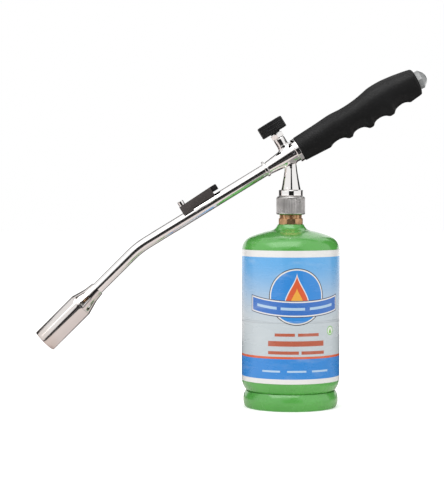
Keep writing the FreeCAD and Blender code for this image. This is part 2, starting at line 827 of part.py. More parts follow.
upright(inlet_cone, COLLAR_HIGH)
casting_solid = fused("valve_body", [casting_barrel, casting_post, inlet_cone])
RISER = "(post_station - chamber_radius + 0.7)"
casting_bores = [
    upright_bore("spigot_bore", "spigot_radius + snug", f"{COLLAR_HIGH} - 1", "spigot_length + 1"),
    upright_bore("filter_bore", "filter_radius + snug", f"{SPIGOT_TOP} - 1", "filter_height + 1 + 2 * snug"),
    upright_bore("gas_inlet", "inlet_bore", f"{SPIGOT_TOP}", f"junction_height - {SPIGOT_TOP} - 0.3"),
    drill("bonnet_bore", "bonnet_thread + snug", "post_height", ("post_station", "0", "bonnet_seat"), (0, 0, 1)),
    drill("valve_chamber", "chamber_radius", "post_height", ("post_station", "0", "chamber_floor"), (0, 0, 1)),
    drill("seat_pocket", "seat_radius + snug", "post_height", ("post_station", "0", "seat_floor"), (0, 0, 1)),
    drill("orifice_drop", "seat_radius - 0.7", "2", ("post_station", "0", "seat_floor - 1.6"), (0, 0, 1)),
    drill("gas_riser", "0.7", "chamber_floor + 0.5", (RISER, "-line_offset", "0"), (0, 0, 1)),
    drill(
        "gas_outlet", "line_bore", f"{RISER} - {NOSE_END} + 0.7", (NOSE_END, "-line_offset", "0"), (1, 0, 0)
    ),
    drill("line_socket", "line_radius + snug", "4", (NOSE_END, "-line_offset", "0"), (1, 0, 0)),
    drill(
        "lead_bore", "lead_radius + 0.2", f"body_tail - {NOSE_END} + 2", (f"{NOSE_END} - 1", "lead_offset", "0"),
        (1, 0, 0),
    ),
    drill("screw_bore", "screw_radius + snug", "6", ("screw_station", "-12", "0"), (0, 1, 0)),
]
finish(cut("valve_body", casting_solid, casting_bores), "valve_body", MAIN)

seat = [
    ("orifice", "seat_floor + snug"),
    ("seat_radius", "seat_floor + snug"),
    ("seat_radius", "seat_top"),
    ("orifice + 0.4", "seat_top"),
    ("orifice", "seat_top - 0.6"),
]
finish(turned("valve_seat", seat), "valve_seat", POST)

# Bonnet, gland nut, packing and spindle stand square to the torch's axis
GLAND_LOW = "(bonnet_top + snug)"
bonnet = [
    ("spindle_radius + running", "bonnet_seat + snug"),
    ("bonnet_thread", "bonnet_seat + snug"),
    ("bonnet_thread", "post_height + snug"),
    ("bonnet_radius", "post_height + snug"),
    ("bonnet_radius", "bonnet_top - bonnet_edge"),
    ("bonnet_radius - bonnet_edge", "bonnet_top"),
    ("spindle_radius + running", "bonnet_top"),
]
finish(turned("valve_bonnet", bonnet), "valve_bonnet", POST)

gland_body = new_body("gland_nut")
gland_sketch = new_sketch(gland_body, "gland_hexagon", "XY_Plane", GLAND_LOW)
corner = "(gland_width / sqrt(3))"
trace(gland_sketch, [
    (f"{corner} * cos({60 * index} * 1 deg)", f"{corner} * sin({60 * index} * 1 deg)") for index in range(6)
])
ring(gland_sketch, "spindle_radius + running")
gland_pad = gland_body.newObject("PartDesign::Pad", "gland_pad")
gland_pad.Profile = gland_sketch
drive(gland_pad, "Length", f"gland_top - {GLAND_LOW}")
doc.recompute()
finish(gland_body, "gland_nut", POST)

# The rubber ring rides in a groove of the spindle and slides in the bonnet's bore
packing = [
    ("spindle_radius - ring_depth + snug / 2", "ring_groove"),
    ("spindle_radius + running / 2", "ring_groove"),
    ("spindle_radius + running / 2", "ring_groove + ring_height"),
    ("spindle_radius - ring_depth + snug / 2", "ring_groove + ring_height"),
]
finish(turned("spindle_seal", packing), "spindle_seal", POST)

spindle = [
    ("0", "seat_top - 0.5"),
    ("orifice - 0.1", "seat_top - 0.3"),
    ("spindle_radius - 0.6", "chamber_floor + 3"),
    ("spindle_radius - 0.6", "bonnet_seat"),
    ("spindle_radius", "bonnet_seat + 0.6"),
    ("spindle_radius", "ring_groove - snug"),
    ("spindle_radius - ring_depth", "ring_groove - snug"),
    ("spindle_radius - ring_depth", "ring_groove + ring_height + snug"),
    ("spindle_radius", "ring_groove + ring_height + snug"),
    ("spindle_radius", "spindle_top"),
    ("0", "spindle_top"),
]
finish(turned("valve_spindle", spindle), "valve_spindle", POST)

knob = [
    ("spindle_radius + snug", "knob_low - knob_hub_drop"),
    ("knob_hub", "knob_low - knob_hub_drop"),
    ("knob_hub", "knob_low + knob_recess"),
    ("knob_radius - knob_rim", "knob_low + knob_recess"),
    ("knob_radius - knob_rim", "knob_low"),
    ("knob_radius - knob_edge", "knob_low"),
    ("knob_radius", "knob_low + knob_edge"),
    ("knob_radius", "knob_high - knob_edge"),
    ("knob_radius - knob_edge", "knob_high"),
    ("cap_screw_head + 0.4", "knob_high"),
    ("cap_screw_head + 0.4", "spindle_top + snug"),
    ("spindle_radius + snug", "spindle_top + snug"),
]
knob_body = turned("control_knob", knob)
knob_notch = new_sketch(knob_body, "knob_notch", "XY_Plane")
trace(knob_notch, [
    ("knob_radius - knob_ridge_depth", "0"),
    ("knob_radius + knob_ridge_depth", "-1.4 * knob_ridge_depth"),
    ("knob_radius + knob_ridge_depth", "1.4 * knob_ridge_depth"),
])
knob_groove = knob_body.newObject("PartDesign::Pocket", "knob_groove")
knob_groove.Profile = knob_notch
knob_groove.Type = "ThroughAll"
knob_groove.Reversed = True
doc.recompute()
repeated(knob_body, knob_groove, "Z_Axis", "knob_ridges")
finish(knob_body, "control_knob", POST)

cap_screw = [
    ("0", "spindle_top + 2 * snug"),
    ("cap_screw_head", "spindle_top + 2 * snug"),
    ("cap_screw_head", "knob_high - 0.5"),
    ("cap_screw_head - 0.5", "knob_high - 0.2"),
    ("1.2", "knob_high - 0.2"),
    ("1.2", "knob_high - 1.2"),
    ("0", "knob_high - 1.2"),
]
finish(turned("knob_screw", cap_screw), "knob_screw", POST)

set_screw = drill("set_screw_rod", "screw_radius", "3.6", ("screw_station", "-9.6", "0"), (0, 1, 0))
set_socket = drill("set_screw_socket", "0.7", "1.5", ("screw_station", "-10", "0"), (0, 1, 0))
finish(cut("body_screw", set_screw, [set_socket]), "body_screw", MAIN)

# ---------------------------------------------------------------- neck tube and what runs in it

SETBACK = "(bend_radius * tan(bend_angle / 2 * 1 deg))"
TURN_X = "cos(bend_angle * 1 deg)"
TURN_Z = "sin(bend_angle * 1 deg)"


def neck_path(start, end):
    """Path along the torch's axis and round the bend, to a distance from the burner's mouth."""
    leg = f"(far_length - {end})"
    return [
        (start, "0"),
        (f"bend_station + {SETBACK}", "0"),
        (
            f"bend_station + {SETBACK} - bend_radius * sin(bend_angle / 2 * 1 deg)",
            "-bend_radius * (1 - cos(bend_angle / 2 * 1 deg))",
            f"bend_station - {SETBACK} * {TURN_X}",
            f"-{SETBACK} * {TURN_Z}",
        ),
        (f"bend_station - {leg} * {TURN_X}", f"-{leg} * {TURN_Z}"),
    ]


neck = pipe("neck_tube", neck_path("body_front - snug", "tube_end"), "tube_radius", TUBE_BORE)
finish(neck, "neck_tube", MAIN)
line = pipe("gas_line", neck_path(f"{NOSE_END} + 4 - snug", "cone_end - 3"), "line_radius", "line_bore")
finish(line, "gas_line", shifted(MAIN, "-line_offset"))
lead = pipe("ignition_lead", neck_path("lead_rear", "electrode_rear + snug"), "lead_radius")
finish(lead, "ignition_lead", shifted(MAIN, "lead_offset"))

RING_RADIUS = "(tube_radius + ring_wall)"
collar_ring = [
    ("ring_station", "tube_radius + snug"),
    ("ring_station", f"{RING_RADIUS} - ring_edge"),
    ("ring_station + ring_edge", RING_RADIUS),
    ("body_front - snug - ring_edge", RING_RADIUS),
    ("body_front - snug", f"{RING_RADIUS} - ring_edge"),
    ("body_front - snug", "tube_radius + snug"),
]
finish(turned("tube_ring", collar_ring, "H"), "tube_ring", MAIN)
RING_MID = "((ring_station + body_front - snug) / 2)"
ring_pin = [
    ("0", f"{RING_RADIUS} + snug"),
    ("ring_pin_radius", f"{RING_RADIUS} + snug"),
    ("ring_pin_radius", f"{RING_RADIUS} + ring_pin_height - ring_edge"),
    ("ring_pin_radius - ring_edge", f"{RING_RADIUS} + ring_pin_height"),
    ("0", f"{RING_RADIUS} + ring_pin_height"),
]
finish(turned("ring_pin", ring_pin), "ring_pin", square_to_axis(RING_MID))

# ---------------------------------------------------------------- burner

barrel = [
    ("0.4", "barrel_radius - mouth_wall"),
    ("0", "barrel_radius - mouth_wall + 0.3"),
    ("0", "barrel_radius - 0.3"),
    ("0.4", "barrel_radius"),
    ("barrel_length", "barrel_radius"),
    ("barrel_length", "barrel_radius - barrel_wall"),
    ("mouth_depth", "barrel_radius - barrel_wall"),
    ("mouth_depth", "barrel_radius - mouth_wall"),
]
finish(turned("burner_barrel", barrel, "H"), "burner_barrel", FAR)

SLEEVE = "(barrel_radius - barrel_wall - snug)"
CONE_WAIST = "(tube_radius + cone_waist_gap)"
cone = [
    ("barrel_length - cone_overlap", SLEEVE),
    ("barrel_length + snug", SLEEVE),
    ("barrel_length + snug", "barrel_radius"),
    ("cone_waist", CONE_WAIST),
    ("cone_end", "tube_radius + cone_end_gap"),
    ("cone_end", "tube_radius + snug"),
    ("tube_end - 0.5", "tube_radius + snug"),
    ("cone_waist - 1.5", f"{CONE_WAIST} - cone_wall"),
    ("barrel_length + snug", f"{SLEEVE} - cone_wall"),
    ("barrel_length - cone_overlap", f"{SLEEVE} - cone_wall"),
]
cone_body = turned("burner_cone", cone, "H")
slot = new_sketch(cone_body, "air_slot_outline", "XY_Plane")
SLOT_LOW = "(barrel_length + 2 + slot_wide)"
SLOT_HIGH = "(cone_waist - 1.5)"
trace(slot, [
    (f"{SLOT_LOW} - slot_wide", "0", SLOT_LOW, "-slot_wide"),
    (SLOT_HIGH, "-slot_narrow"),
    (f"{SLOT_HIGH} + slot_narrow", "0", SLOT_HIGH, "slot_narrow"),
    (SLOT_LOW, "slot_wide"),
])
air_slot = cone_body.newObject("PartDesign::Pocket", "air_slot")
air_slot.Profile = slot
air_slot.Type = "ThroughAll"
air_slot.Reversed = True
doc.recompute()
repeated(cone_body, air_slot, "X_Axis", "air_slots")
finish(cone_body, "burner_cone", FAR)

# The jet holder closes the tube's end and carries the jet and the insulator
jet_plug = [
    ("tube_end - 2.4", "0"),
    ("tube_end - 2.4", "tube_radius - 0.2"),
    ("tube_end - snug", "tube_radius - 0.2"),
    ("tube_end - snug", f"{TUBE_BORE} - snug"),
    ("cone_end + 1", f"{TUBE_BORE} - snug"),
    ("cone_end + 1", "0"),
]
plug_bores = [
    drill("plug_line_socket", "line_radius + snug", "5", ("cone_end - 3 - snug", "-line_offset", "0"), (1, 0, 0)),
    drill("plug_channel", "line_bore", "6", ("cone_end - 6", "-line_offset", "0"), (1, 0, 0)),
    drill("plug_feed", "1", "cone_end - 4 - tube_end + 3", ("tube_end - 3", "0", "0"), (1, 0, 0)),
    drill("plug_jet_bore", "jet_radius - 0.4 + snug", "4", ("tube_end - 3", "0", "0"), (1, 0, 0)),
    drill("plug_insulator_bore", "insulator_radius + snug", "20", ("tube_end - 4", "lead_offset", "0"), (1, 0, 0)),
]
finish(cut("jet_plug", turned("jet_plug", jet_plug, "H"), plug_bores), "jet_plug", FAR)

jet = [
    ("jet_front", "jet_throat"),
    ("jet_front", "jet_radius - 0.6"),
    ("jet_front + jet_taper", "jet_radius"),
    ("tube_end - 2.4 - snug", "jet_radius"),
    ("tube_end - 2.4 - snug", "jet_radius - 0.4"),
    ("tube_end + 0.5", "jet_radius - 0.4"),
    ("tube_end + 0.5", "jet_bore"),
    ("jet_front + 2", "jet_bore"),
    ("jet_front + jet_taper", "jet_throat"),
]
finish(turned("gas_jet", jet, "H"), "gas_jet", FAR)

disc_body = new_body("flame_holder")
disc_sketch = new_sketch(disc_body, "flame_holder_disc", "YZ_Plane", "holder_station")
ring(disc_sketch, "barrel_radius - barrel_wall - snug")
ring(disc_sketch, "holder_eye")
disc_pad = disc_body.newObject("PartDesign::Pad", "flame_holder_pad")
disc_pad.Profile = disc_sketch
drive(disc_pad, "Length", "holder_thickness")
doc.recompute()
port_sketch = new_sketch(disc_body, "outer_port", "YZ_Plane", "holder_station")
ring(port_sketch, "outer_port_radius", "0", "outer_port_circle")
port = disc_body.newObject("PartDesign::Pocket", "outer_port_cut")
port.Profile = port_sketch
port.Type = "ThroughAll"
port.Reversed = True
doc.recompute()
repeated(disc_body, port, "X_Axis", "outer_ports")
disc_holes = [
    drill(
        f"inner_port_{index}", "inner_port_radius", "4",
        (
            "holder_station - 1",
            f"inner_port_circle * cos({index + 0.5} * 360 / inner_ports * 1 deg)",
            f"inner_port_circle * sin({index + 0.5} * 360 / inner_ports * 1 deg)",
        ),
        (1, 0, 0),
    )
    for index in range(SIZES["inner_ports"])
]
disc_holes.append(
    drill("insulator_port", "insulator_radius + snug", "4", ("holder_station - 1", "lead_offset", "0"), (1, 0, 0))
)
finish(cut("flame_holder", disc_body, disc_holes), "flame_holder", FAR)

insulator = [
    ("insulator_front", "electrode_radius + snug"),
    ("insulator_front", "insulator_radius - 0.2"),
    ("insulator_front + 0.2", "insulator_radius"),
    ("insulator_rear", "insulator_radius"),
    ("insulator_rear", "electrode_radius + snug"),
]
finish(turned("insulator", insulator, "H"), "insulator", shifted(FAR, "lead_offset"))
electrode = pipe("spark_electrode", [
    ("electrode_rear - snug", "0"),
    ("electrode_front + electrode_bend", "0"),
    (
        "electrode_front + electrode_bend * (1 - sin(45 * 1 deg))",
        "electrode_bend * (1 - cos(45 * 1 deg))",
        "electrode_front",
        "electrode_bend",
    ),
    ("electrode_front", "electrode_reach"),
], "electrode_radius", plane="XY_Plane")
finish(electrode, "spark_electrode", shifted(FAR, "lead_offset"))

# ---------------------------------------------------------------- rest on top of the neck tube

SADDLE_TOP = "(tube_radius + snug + saddle_wall)"
saddle_body = new_body("rest_saddle")
saddle_sketch = new_sketch(saddle_body, "saddle_section", "YZ_Plane", "saddle_front")
trace(saddle_sketch, [
    ("0", "tube_radius + snug", "-(tube_radius + snug)", "0.6"),
    (f"-{SADDLE_TOP}", "0.6"),
    ("0", SADDLE_TOP, SADDLE_TOP, "0.6"),
    ("tube_radius + snug", "0.6"),
])
saddle_pad = saddle_body.newObject("PartDesign::Pad", "saddle_pad")
saddle_pad.Profile = saddle_sketch
drive(saddle_pad, "Length", "saddle_rear - saddle_front")
doc.recompute()
finish(saddle_body, "rest_saddle", MAIN)

block = [
    ("block_front", "block_foot"),
    ("block_foot_rear", "block_foot"),
    ("block_foot_rear", "tube_radius - 1"),
    ("block_rear", "tube_radius - 1"),
    ("block_rear", "block_rear_top"),
    ("block_front", "block_front_top"),
]
block_cuts = [
    drill("block_tube_way", "tube_radius + snug", "60", ("block_front - 10", "0", "0"), (1, 0, 0)),
    drill("block_saddle_way", f"{SADDLE_TOP} + snug", "60", ("saddle_front - snug", "0", "0"), (1, 0, 0)),
    drill("block_screw_bore", "1.2", "6", ("knurl_station", "0", "block_front_top - 4"), (0, 0, 1)),
]
finish(cut("rest_block", bar("rest_block", block, "block_width"), block_cuts), "rest_block", MAIN)

pad_profile = [
    ("block_rear + snug", "pad_low"),
    ("pad_rear", "pad_low"),
    ("pad_rear", "block_rear_top - 0.6"),
    ("pad_rear - 0.6", "block_rear_top"),
    ("block_rear + snug", "block_rear_top"),
]
finish(bar("rest_pad", pad_profile, "pad_width"), "rest_pad", MAIN)

KNURL_LOW = "(block_front_top + (block_rear_top - block_front_top) * 0.2 + snug)"
rest_screw = [
    ("0", "block_front_top - 3.4"),
    ("1.1", "block_front_top - 3.4"),
    ("1.1", KNURL_LOW),
    ("knurl_radius", KNURL_LOW),
    ("knurl_radius", f"{KNURL_LOW} + knurl_rise - 0.5"),
    ("knurl_radius - 0.5", f"{KNURL_LOW} + knurl_rise"),
    ("0", f"{KNURL_LOW} + knurl_rise"),
]
finish(turned("rest_screw", rest_screw), "rest_screw", square_to_axis("knurl_station"))

# ---------------------------------------------------------------- handle

core = [
    ("grip_front + running", "body_tail_radius + snug"),
    ("grip_front + running", "core_radius"),
    ("core_rear", "core_radius"),
    ("core_rear", "body_tail_radius + snug"),
]
finish(turned("handle_core", core, "H"), "handle_core", MAIN)

# Grip sections from front to rear: station, top, bottom and half width
SECTIONS = [
    ("grip_front + running", "grip_front_radius", "grip_front_radius", "grip_front_radius"),
    ("grip_front + 22", "13.3", "14.4", "12.9"),
    ("grip_front + 46", "13.9", "16.9", "13.2"),
    ("grip_front + 60", "13.2", "18.3", "13.3"),
    ("grip_front + 76", "14.1", "19.4", "13.6"),
    ("grip_front + 94", "16.5", "19.9", "13.9"),
    ("grip_front + 110", "15.4", "19.3", "13.5"),
    ("grip_front + 124", "12.9", "18.2", "12.9"),
    ("grip_rear", "9.6", "17", "12.2"),
]
ellipses = []
for index, (station, top, bottom, half) in enumerate(SECTIONS):
    ellipse = doc.addObject("Part::Ellipse", f"grip_section_{index}")
    drive(ellipse, "MajorRadius", f"(({top}) + ({bottom})) / 2 + 0.001")
    drive(ellipse, "MinorRadius", half)
    ellipse.Placement.Rotation = FreeCAD.Rotation(
        FreeCAD.Vector(0, 0, 1), FreeCAD.Vector(0, 1, 0), FreeCAD.Vector(1, 0, 0), "ZXY"
    )
    drive(ellipse, "Placement.Base.x", f"({station}) * 1 mm")
    drive(ellipse, "Placement.Base.z", f"(({top}) - ({bottom})) / 2 * 1 mm")
    ellipses.append(ellipse)
grip_loft = doc.addObject("Part::Loft", "grip_loft")
grip_loft.Sections = ellipses
grip_loft.Solid = True
doc.recompute()

groove_tools = [
    drill(
        f"finger_groove_{index}",
        "groove_radius",
        "60",
        (
            f"groove_first + {index} * groove_pitch",
            "-30",
            f"-(16.2 + 3.2 * sin({20 + 40 * index} * 1 deg)) + groove_depth - groove_radius",
        ),
        (0, 1, 0),
    )
    for index in range(SIZES["grooves"])
]
GUIDE_OUTER = "(button_radius + easy + guide_wall)"
CHAMBER = "(piezo_radius + snug)"


def in_button_axis(rod, u):
    """Place a tool on the button's axis at a distance from its base, seen from the torch's frame."""
    rod.Placement.Rotation = FreeCAD.Rotation(FreeCAD.Vector(0, 1, 0), 90 + value("button_tilt"))
    drive(rod, "Placement.Rotation.Angle", "(90 + button_tilt) * 1 deg")
    drive(rod, "Placement.Base.x", f"(button_station + ({u}) * cos(button_tilt * 1 deg)) * 1 mm")
    drive(rod, "Placement.Base.z", f"(-button_drop - ({u}) * sin(button_tilt * 1 deg)) * 1 mm")
    return rod


def axis_tool(name, radius, low, length):
    rod = doc.addObject("Part::Cylinder", name)
    drive(rod, "Radius", radius)
    drive(rod, "Height", length)
    return in_button_axis(rod, low)


# The rear is closed by a shallow dome about the button's axis
dome = doc.addObject("Part::Sphere", "grip_dome_ball")
drive(dome, "Radius", "grip_dome")
in_button_axis(dome, "-guide_recess + 1.6 - grip_dome")
domed = doc.addObject("Part::Common", "grip_domed")
domed.Base = grip_loft
domed.Tool = dome
doc.recompute()
core_bore = drill(
    "core_bore", "core_radius + snug", "core_rear + snug - grip_front + 5", ("grip_front - 5", "0", "0"), (1, 0, 0)
)
guide_bore = axis_tool("guide_bore", f"{GUIDE_OUTER} + snug", "-(guide_depth + 0.5)", "guide_depth + 12")
piezo_bore = axis_tool("piezo_bore", CHAMBER, "-(piezo_front + 4)", "piezo_front + 4")
grip = cut("handle_grip", domed, groove_tools + [core_bore, guide_bore, piezo_bore])
finish(grip, "handle_grip", MAIN)

# ---------------------------------------------------------------- igniter

guide = [
    ("-guide_depth", "button_radius + easy"),
    ("-guide_depth", GUIDE_OUTER),
    ("-guide_recess", GUIDE_OUTER),
    ("-guide_recess", "button_radius + running"),
    ("-guide_recess - 1.6", "button_radius + running"),
    ("-guide_recess - 1.6", "button_radius + easy"),
]
finish(turned("button_guide", guide, "H"), "button_guide", BUTTON)

# Button: round skirt inside the guide, eight-sided head that narrows to a small flat
SKIRT = "(button_radius - running)"
skirt = [
    ("-button_skirt", "button_radius - button_wall"),
    ("-button_skirt", "button_radius + button_rim"),
    ("-button_skirt + 1.4", "button_radius + button_rim"),
    ("-button_skirt + 1.4", SKIRT),
    ("-0.6", SKIRT),
    ("-0.6", "0"),
    ("-3", "0"),
    ("-3", "button_radius - button_wall"),
]
skirt_body = turned("button_skirt", skirt, "H")
head_sections = []
for index, (station, radius) in enumerate([
    ("-0.6", "button_radius - 0.25"),
    ("button_shoulder", "button_radius"),
    ("button_height - 1.2", "button_flat + 2.6"),
    ("button_height", "button_flat"),
]):
    octagon = doc.addObject("Part::RegularPolygon", f"button_octagon_{index}")
    octagon.Polygon = 8
    drive(octagon, "Circumradius", radius)
    octagon.Placement.Rotation = FreeCAD.Rotation(FreeCAD.Vector(0, 1, 0), 90)
    drive(octagon, "Placement.Base.x", f"({station}) * 1 mm")
    head_sections.append(octagon)
button_head = doc.addObject("Part::Loft", "button_head")
button_head.Sections = head_sections
button_head.Solid = True
button_head.Ruled = True
doc.recompute()
finish(fused("igniter_button", [skirt_body, button_head]), "igniter_button", BUTTON)

plunger = [
    ("-piezo_rear + 0.3 + button_travel", "0"),
    ("-piezo_rear + 0.3 + button_travel", "plunger_radius"),
    ("-3 - snug", "plunger_radius"),
    ("-3 - snug", "0"),
]
finish(turned("piezo_plunger", plunger, "H"), "piezo_plunger", BUTTON)

piezo = [
    ("-piezo_front", "0"),
    ("-piezo_front", "piezo_radius - 0.6"),
    ("-piezo_front + 0.6", "piezo_radius"),
    ("-piezo_rear", "piezo_radius"),
    ("-piezo_rear", "0"),
]
finish(turned("piezo_unit", piezo, "H"), "piezo_unit", BUTTON)

# Z axis of this frame runs down the button's axis, into the handle
INWARDS = (BUTTON[0], BUTTON[1], BUTTON[2], "90 + torch_pitch - button_tilt")
button_coil = coil(
    "button_spring", "plunger_radius + 1.6", "spring_wire / 2", 6, "3 + snug", "piezo_rear - 3 - 2 * snug"
)
finish(button_coil, "button_spring", INWARDS)

# ---------------------------------------------------------------- checks and export

doc.recompute()
for item in doc.Objects:
    if "Invalid" in item.State or "Error" in item.State:
        raise RuntimeError(f"{item.Name} failed: {item.State}")
for item in parts:
    if item.Shape.isNull() or not item.Shape.isValid():
        raise RuntimeError(f"{item.Label} has no valid shape")
    print(f"{item.Label}: {len(item.Shape.Solids)} solid(s), {item.Shape.Volume:.1f} mm3")
for item in parts:
    item.Shape.exportStep(f"parts/{item.Label}.step")
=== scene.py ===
"""Looks of a propane torch screwed onto its fuel cylinder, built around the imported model."""

import logging
import math
from collections.abc import Callable, Sequence
from dataclasses import dataclass, field
from enum import Enum

import bmesh
import bpy
from mathutils import Matrix, Vector


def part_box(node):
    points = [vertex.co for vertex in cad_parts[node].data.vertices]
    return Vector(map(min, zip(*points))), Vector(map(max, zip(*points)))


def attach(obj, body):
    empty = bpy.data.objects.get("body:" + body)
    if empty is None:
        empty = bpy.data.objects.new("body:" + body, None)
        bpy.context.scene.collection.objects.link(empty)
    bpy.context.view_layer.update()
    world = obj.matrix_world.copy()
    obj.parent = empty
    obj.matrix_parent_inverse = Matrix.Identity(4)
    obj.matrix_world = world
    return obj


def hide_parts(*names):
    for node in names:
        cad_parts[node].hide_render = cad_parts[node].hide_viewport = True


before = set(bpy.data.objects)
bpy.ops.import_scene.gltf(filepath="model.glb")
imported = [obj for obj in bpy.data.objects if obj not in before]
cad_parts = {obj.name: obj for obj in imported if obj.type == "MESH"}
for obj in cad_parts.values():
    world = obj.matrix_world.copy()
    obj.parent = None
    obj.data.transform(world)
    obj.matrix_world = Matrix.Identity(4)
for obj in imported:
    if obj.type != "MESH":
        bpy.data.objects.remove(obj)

LOG = logging.getLogger("torch")
MM = 0.001
Point = tuple[float, ...]
Colour = tuple[float, float, float]
Socket = bpy.types.NodeSocket
WHITE: Colour = (1.0, 1.0, 1.0)
THREAD_PITCH = 1.27
WHOLE_RUN = 1000.0
ARC_STEPS = 5
POLE = 1e-6
BODY_FACES = 192


class Bodies(Enum):
    """Moving bodies of the torch that pieces ride on."""

    CYLINDER = "cylinder"
    TORCH = "torch"
    NUT = "nut"
    KNOB = "knob"
    BUTTON = "button"


# ------------------------------------------------------------------ node trees


class Wiring:
    """Writer of one node tree: links and values into sockets, arithmetic and ramps."""

    tree: bpy.types.NodeTree

    def feed(self, socket: Socket, value: object) -> None:
        """Give an input a link or a plain value.

        Args:
            socket: The input.
            value: Another node's output, a number or a colour.
        """
        if isinstance(value, Socket):
            self.tree.links.new(value, socket)
        elif socket.type == "RGBA" and len(value) == 3:
            socket.default_value = (*value, 1.0)
        else:
            socket.default_value = value

    def step(self, operation: str, *values: object) -> Socket:
        """One arithmetic node.

        Args:
            operation: Math operation.
            values: Operands.

        Returns:
            Its output.
        """
        made = self.tree.nodes.new("ShaderNodeMath")
        made.operation = operation
        for socket, value in zip(made.inputs, values):
            self.feed(socket, value)
        return made.outputs[0]

    def apart(self, first: object, second: object) -> Socket:
        """Size of the difference between two values."""
        return self.step("ABSOLUTE", self.step("SUBTRACT", first, second))

    def ramp(self, value: object, low: object, high: object, start: float, end: float) -> Socket:
        """Smooth ramp between two values, level outside them.

        Args:
            value: What is measured.
            low: Where the ramp starts.
            high: Where it ends.
            start: Result at its start.
            end: Result at its end.

        Returns:
            The ramp's output.
        """
        made = self.tree.nodes.new("ShaderNodeMapRange")
        made.interpolation_type = "SMOOTHSTEP"
        for socket, given in zip(made.inputs, (value, low, high, start, end)):
            self.feed(socket, given)
        return made.outputs[0]


class Graph(Wiring):
    """Builder for one material's node tree."""

    FINER_SHARE = 0.55

    def __init__(self, name: str) -> None:
        """Start a material.

        Args:
            name: The material's name.
        """
        self.material = bpy.data.materials.new(name)
        self.material.use_nodes = True
        self.tree = self.material.node_tree
        self.surface = self.tree.nodes["Principled BSDF"]
        self._object: Socket | None = None

    def node(self, kind: str, **settings: object) -> bpy.types.Node:
        """Add a node and set its properties.

        Args:
            kind: Node type without the ShaderNode prefix.
            settings: Properties to set on it.

        Returns:
            The new node.
        """
        made = self.tree.nodes.new("ShaderNode" + kind)
        for key, value in settings.items():
            setattr(made, key, value)
        return made

    def place(self) -> Socket:
        """Object coordinates in metres, from one shared node.

        Returns:
            The vector output.
        """
        if self._object is None:
            self._object = self.node("TexCoord").outputs["Object"]
        return self._object

    def stretched(self, scale: Point, turn: Point = (0.0, 0.0, 0.0)) -> Socket:
        """Object coordinates turned and then scaled by axis.

        Args:
            scale: Scale on each axis.
            turn: Turn about each axis in radians.

        Returns:
            The vector output.
        """
        mapping = self.node("Mapping", vector_type="TEXTURE")
        self.feed(mapping.inputs["Vector"], self.place())
        mapping.inputs["Rotation"].default_value = turn
        second = self.node("Mapping")
        self.feed(second.inputs["Vector"], mapping.outputs["Vector"])
        second.inputs["Scale"].default_value = scale
        return second.outputs["Vector"]

    def noise(self, scale: float, detail: float = 3.0, vector: Socket | None = None) -> Socket:
        """Noise over the object's coordinates.

        Args:
            scale: Cells to a metre, or to a unit of the given vector.
            detail: Octaves.
            vector: Coordinates other than the object's own.

        Returns:
            The noise value.
        """
        made = self.node("TexNoise")
        self.feed(made.inputs["Vector"], self.place() if vector is None else vector)
        made.inputs["Scale"].default_value = scale
        made.inputs["Detail"].default_value = detail
        made.inputs["Roughness"].default_value = self.FINER_SHARE
        return made.outputs["Fac"]

    def cells(self, scale: float) -> Socket:
        """Distance to the nearest of scattered points.

        Args:
            scale: Points to a metre.

        Returns:
            The distance.
        """
        made = self.node("TexVoronoi")
        self.feed(made.inputs["Vector"], self.place())
        made.inputs["Scale"].default_value = scale
        return made.outputs["Distance"]

    def mix(self, share: object, first: object, second: object) -> Socket:
        """Blend of two colours.

        Args:
            share: 0 gives the first, 1 the second.
            first: First colour.
            second: Second colour.

        Returns:
            The blended colour.
        """
        made = self.node("Mix", data_type="RGBA")
        self.feed(made.inputs[0], share)
        self.feed(made.inputs[6], first)
        self.feed(made.inputs[7], second)
        return made.outputs[2]

    def axes(self) -> tuple[Socket, Socket, Socket]:
        """Object coordinates one by one.

        Returns:
            The three outputs.
        """
        made = self.node("SeparateXYZ")
        self.feed(made.inputs[0], self.place())
        return made.outputs[0], made.outputs[1], made.outputs[2]

    def bump(
        self, height: Socket, depth: float, strength: float, under: Socket | None = None
    ) -> Socket:
        """Normal pushed by a height.

        Args:
            height: Height, 0..1.
            depth: What 1 stands for, in metres.
            strength: Share of the effect.
            under: Another bump's normal to build on.

        Returns:
            The normal.
        """
        made = self.node("Bump")
        self.feed(made.inputs["Height"], height)
        made.inputs["Distance"].default_value = depth
        made.inputs["Strength"].default_value = strength
        if under is not None:
            self.feed(made.inputs["Normal"], under)
        return made.outputs["Normal"]

    def dress(self, **sockets: object) -> bpy.types.Material:
        """Feed the surface shader.

        Args:
            sockets: Input names with underscores for spaces.

        Returns:
            The finished material.
        """
        for key, value in sockets.items():
            self.feed(self.surface.inputs[key.replace("_", " ")], value)
        return self.material


# ------------------------------------------------------------------ finishes


@dataclass(frozen=True)
class Finish:
    """A surface finish that makes its material once."""

    name: str
    slot: str

    def make(self) -> bpy.types.Material:
        """Material of this finish, made on first use."""
        ready = bpy.data.materials.get(self.name)
        return ready if ready is not None else self.paint(Graph(self.name))

    def paint(self, graph: Graph) -> bpy.types.Material:
        """Build the node tree.

        Args:
            graph: The material under construction.

        Returns:
            The material.
        """
        raise NotImplementedError


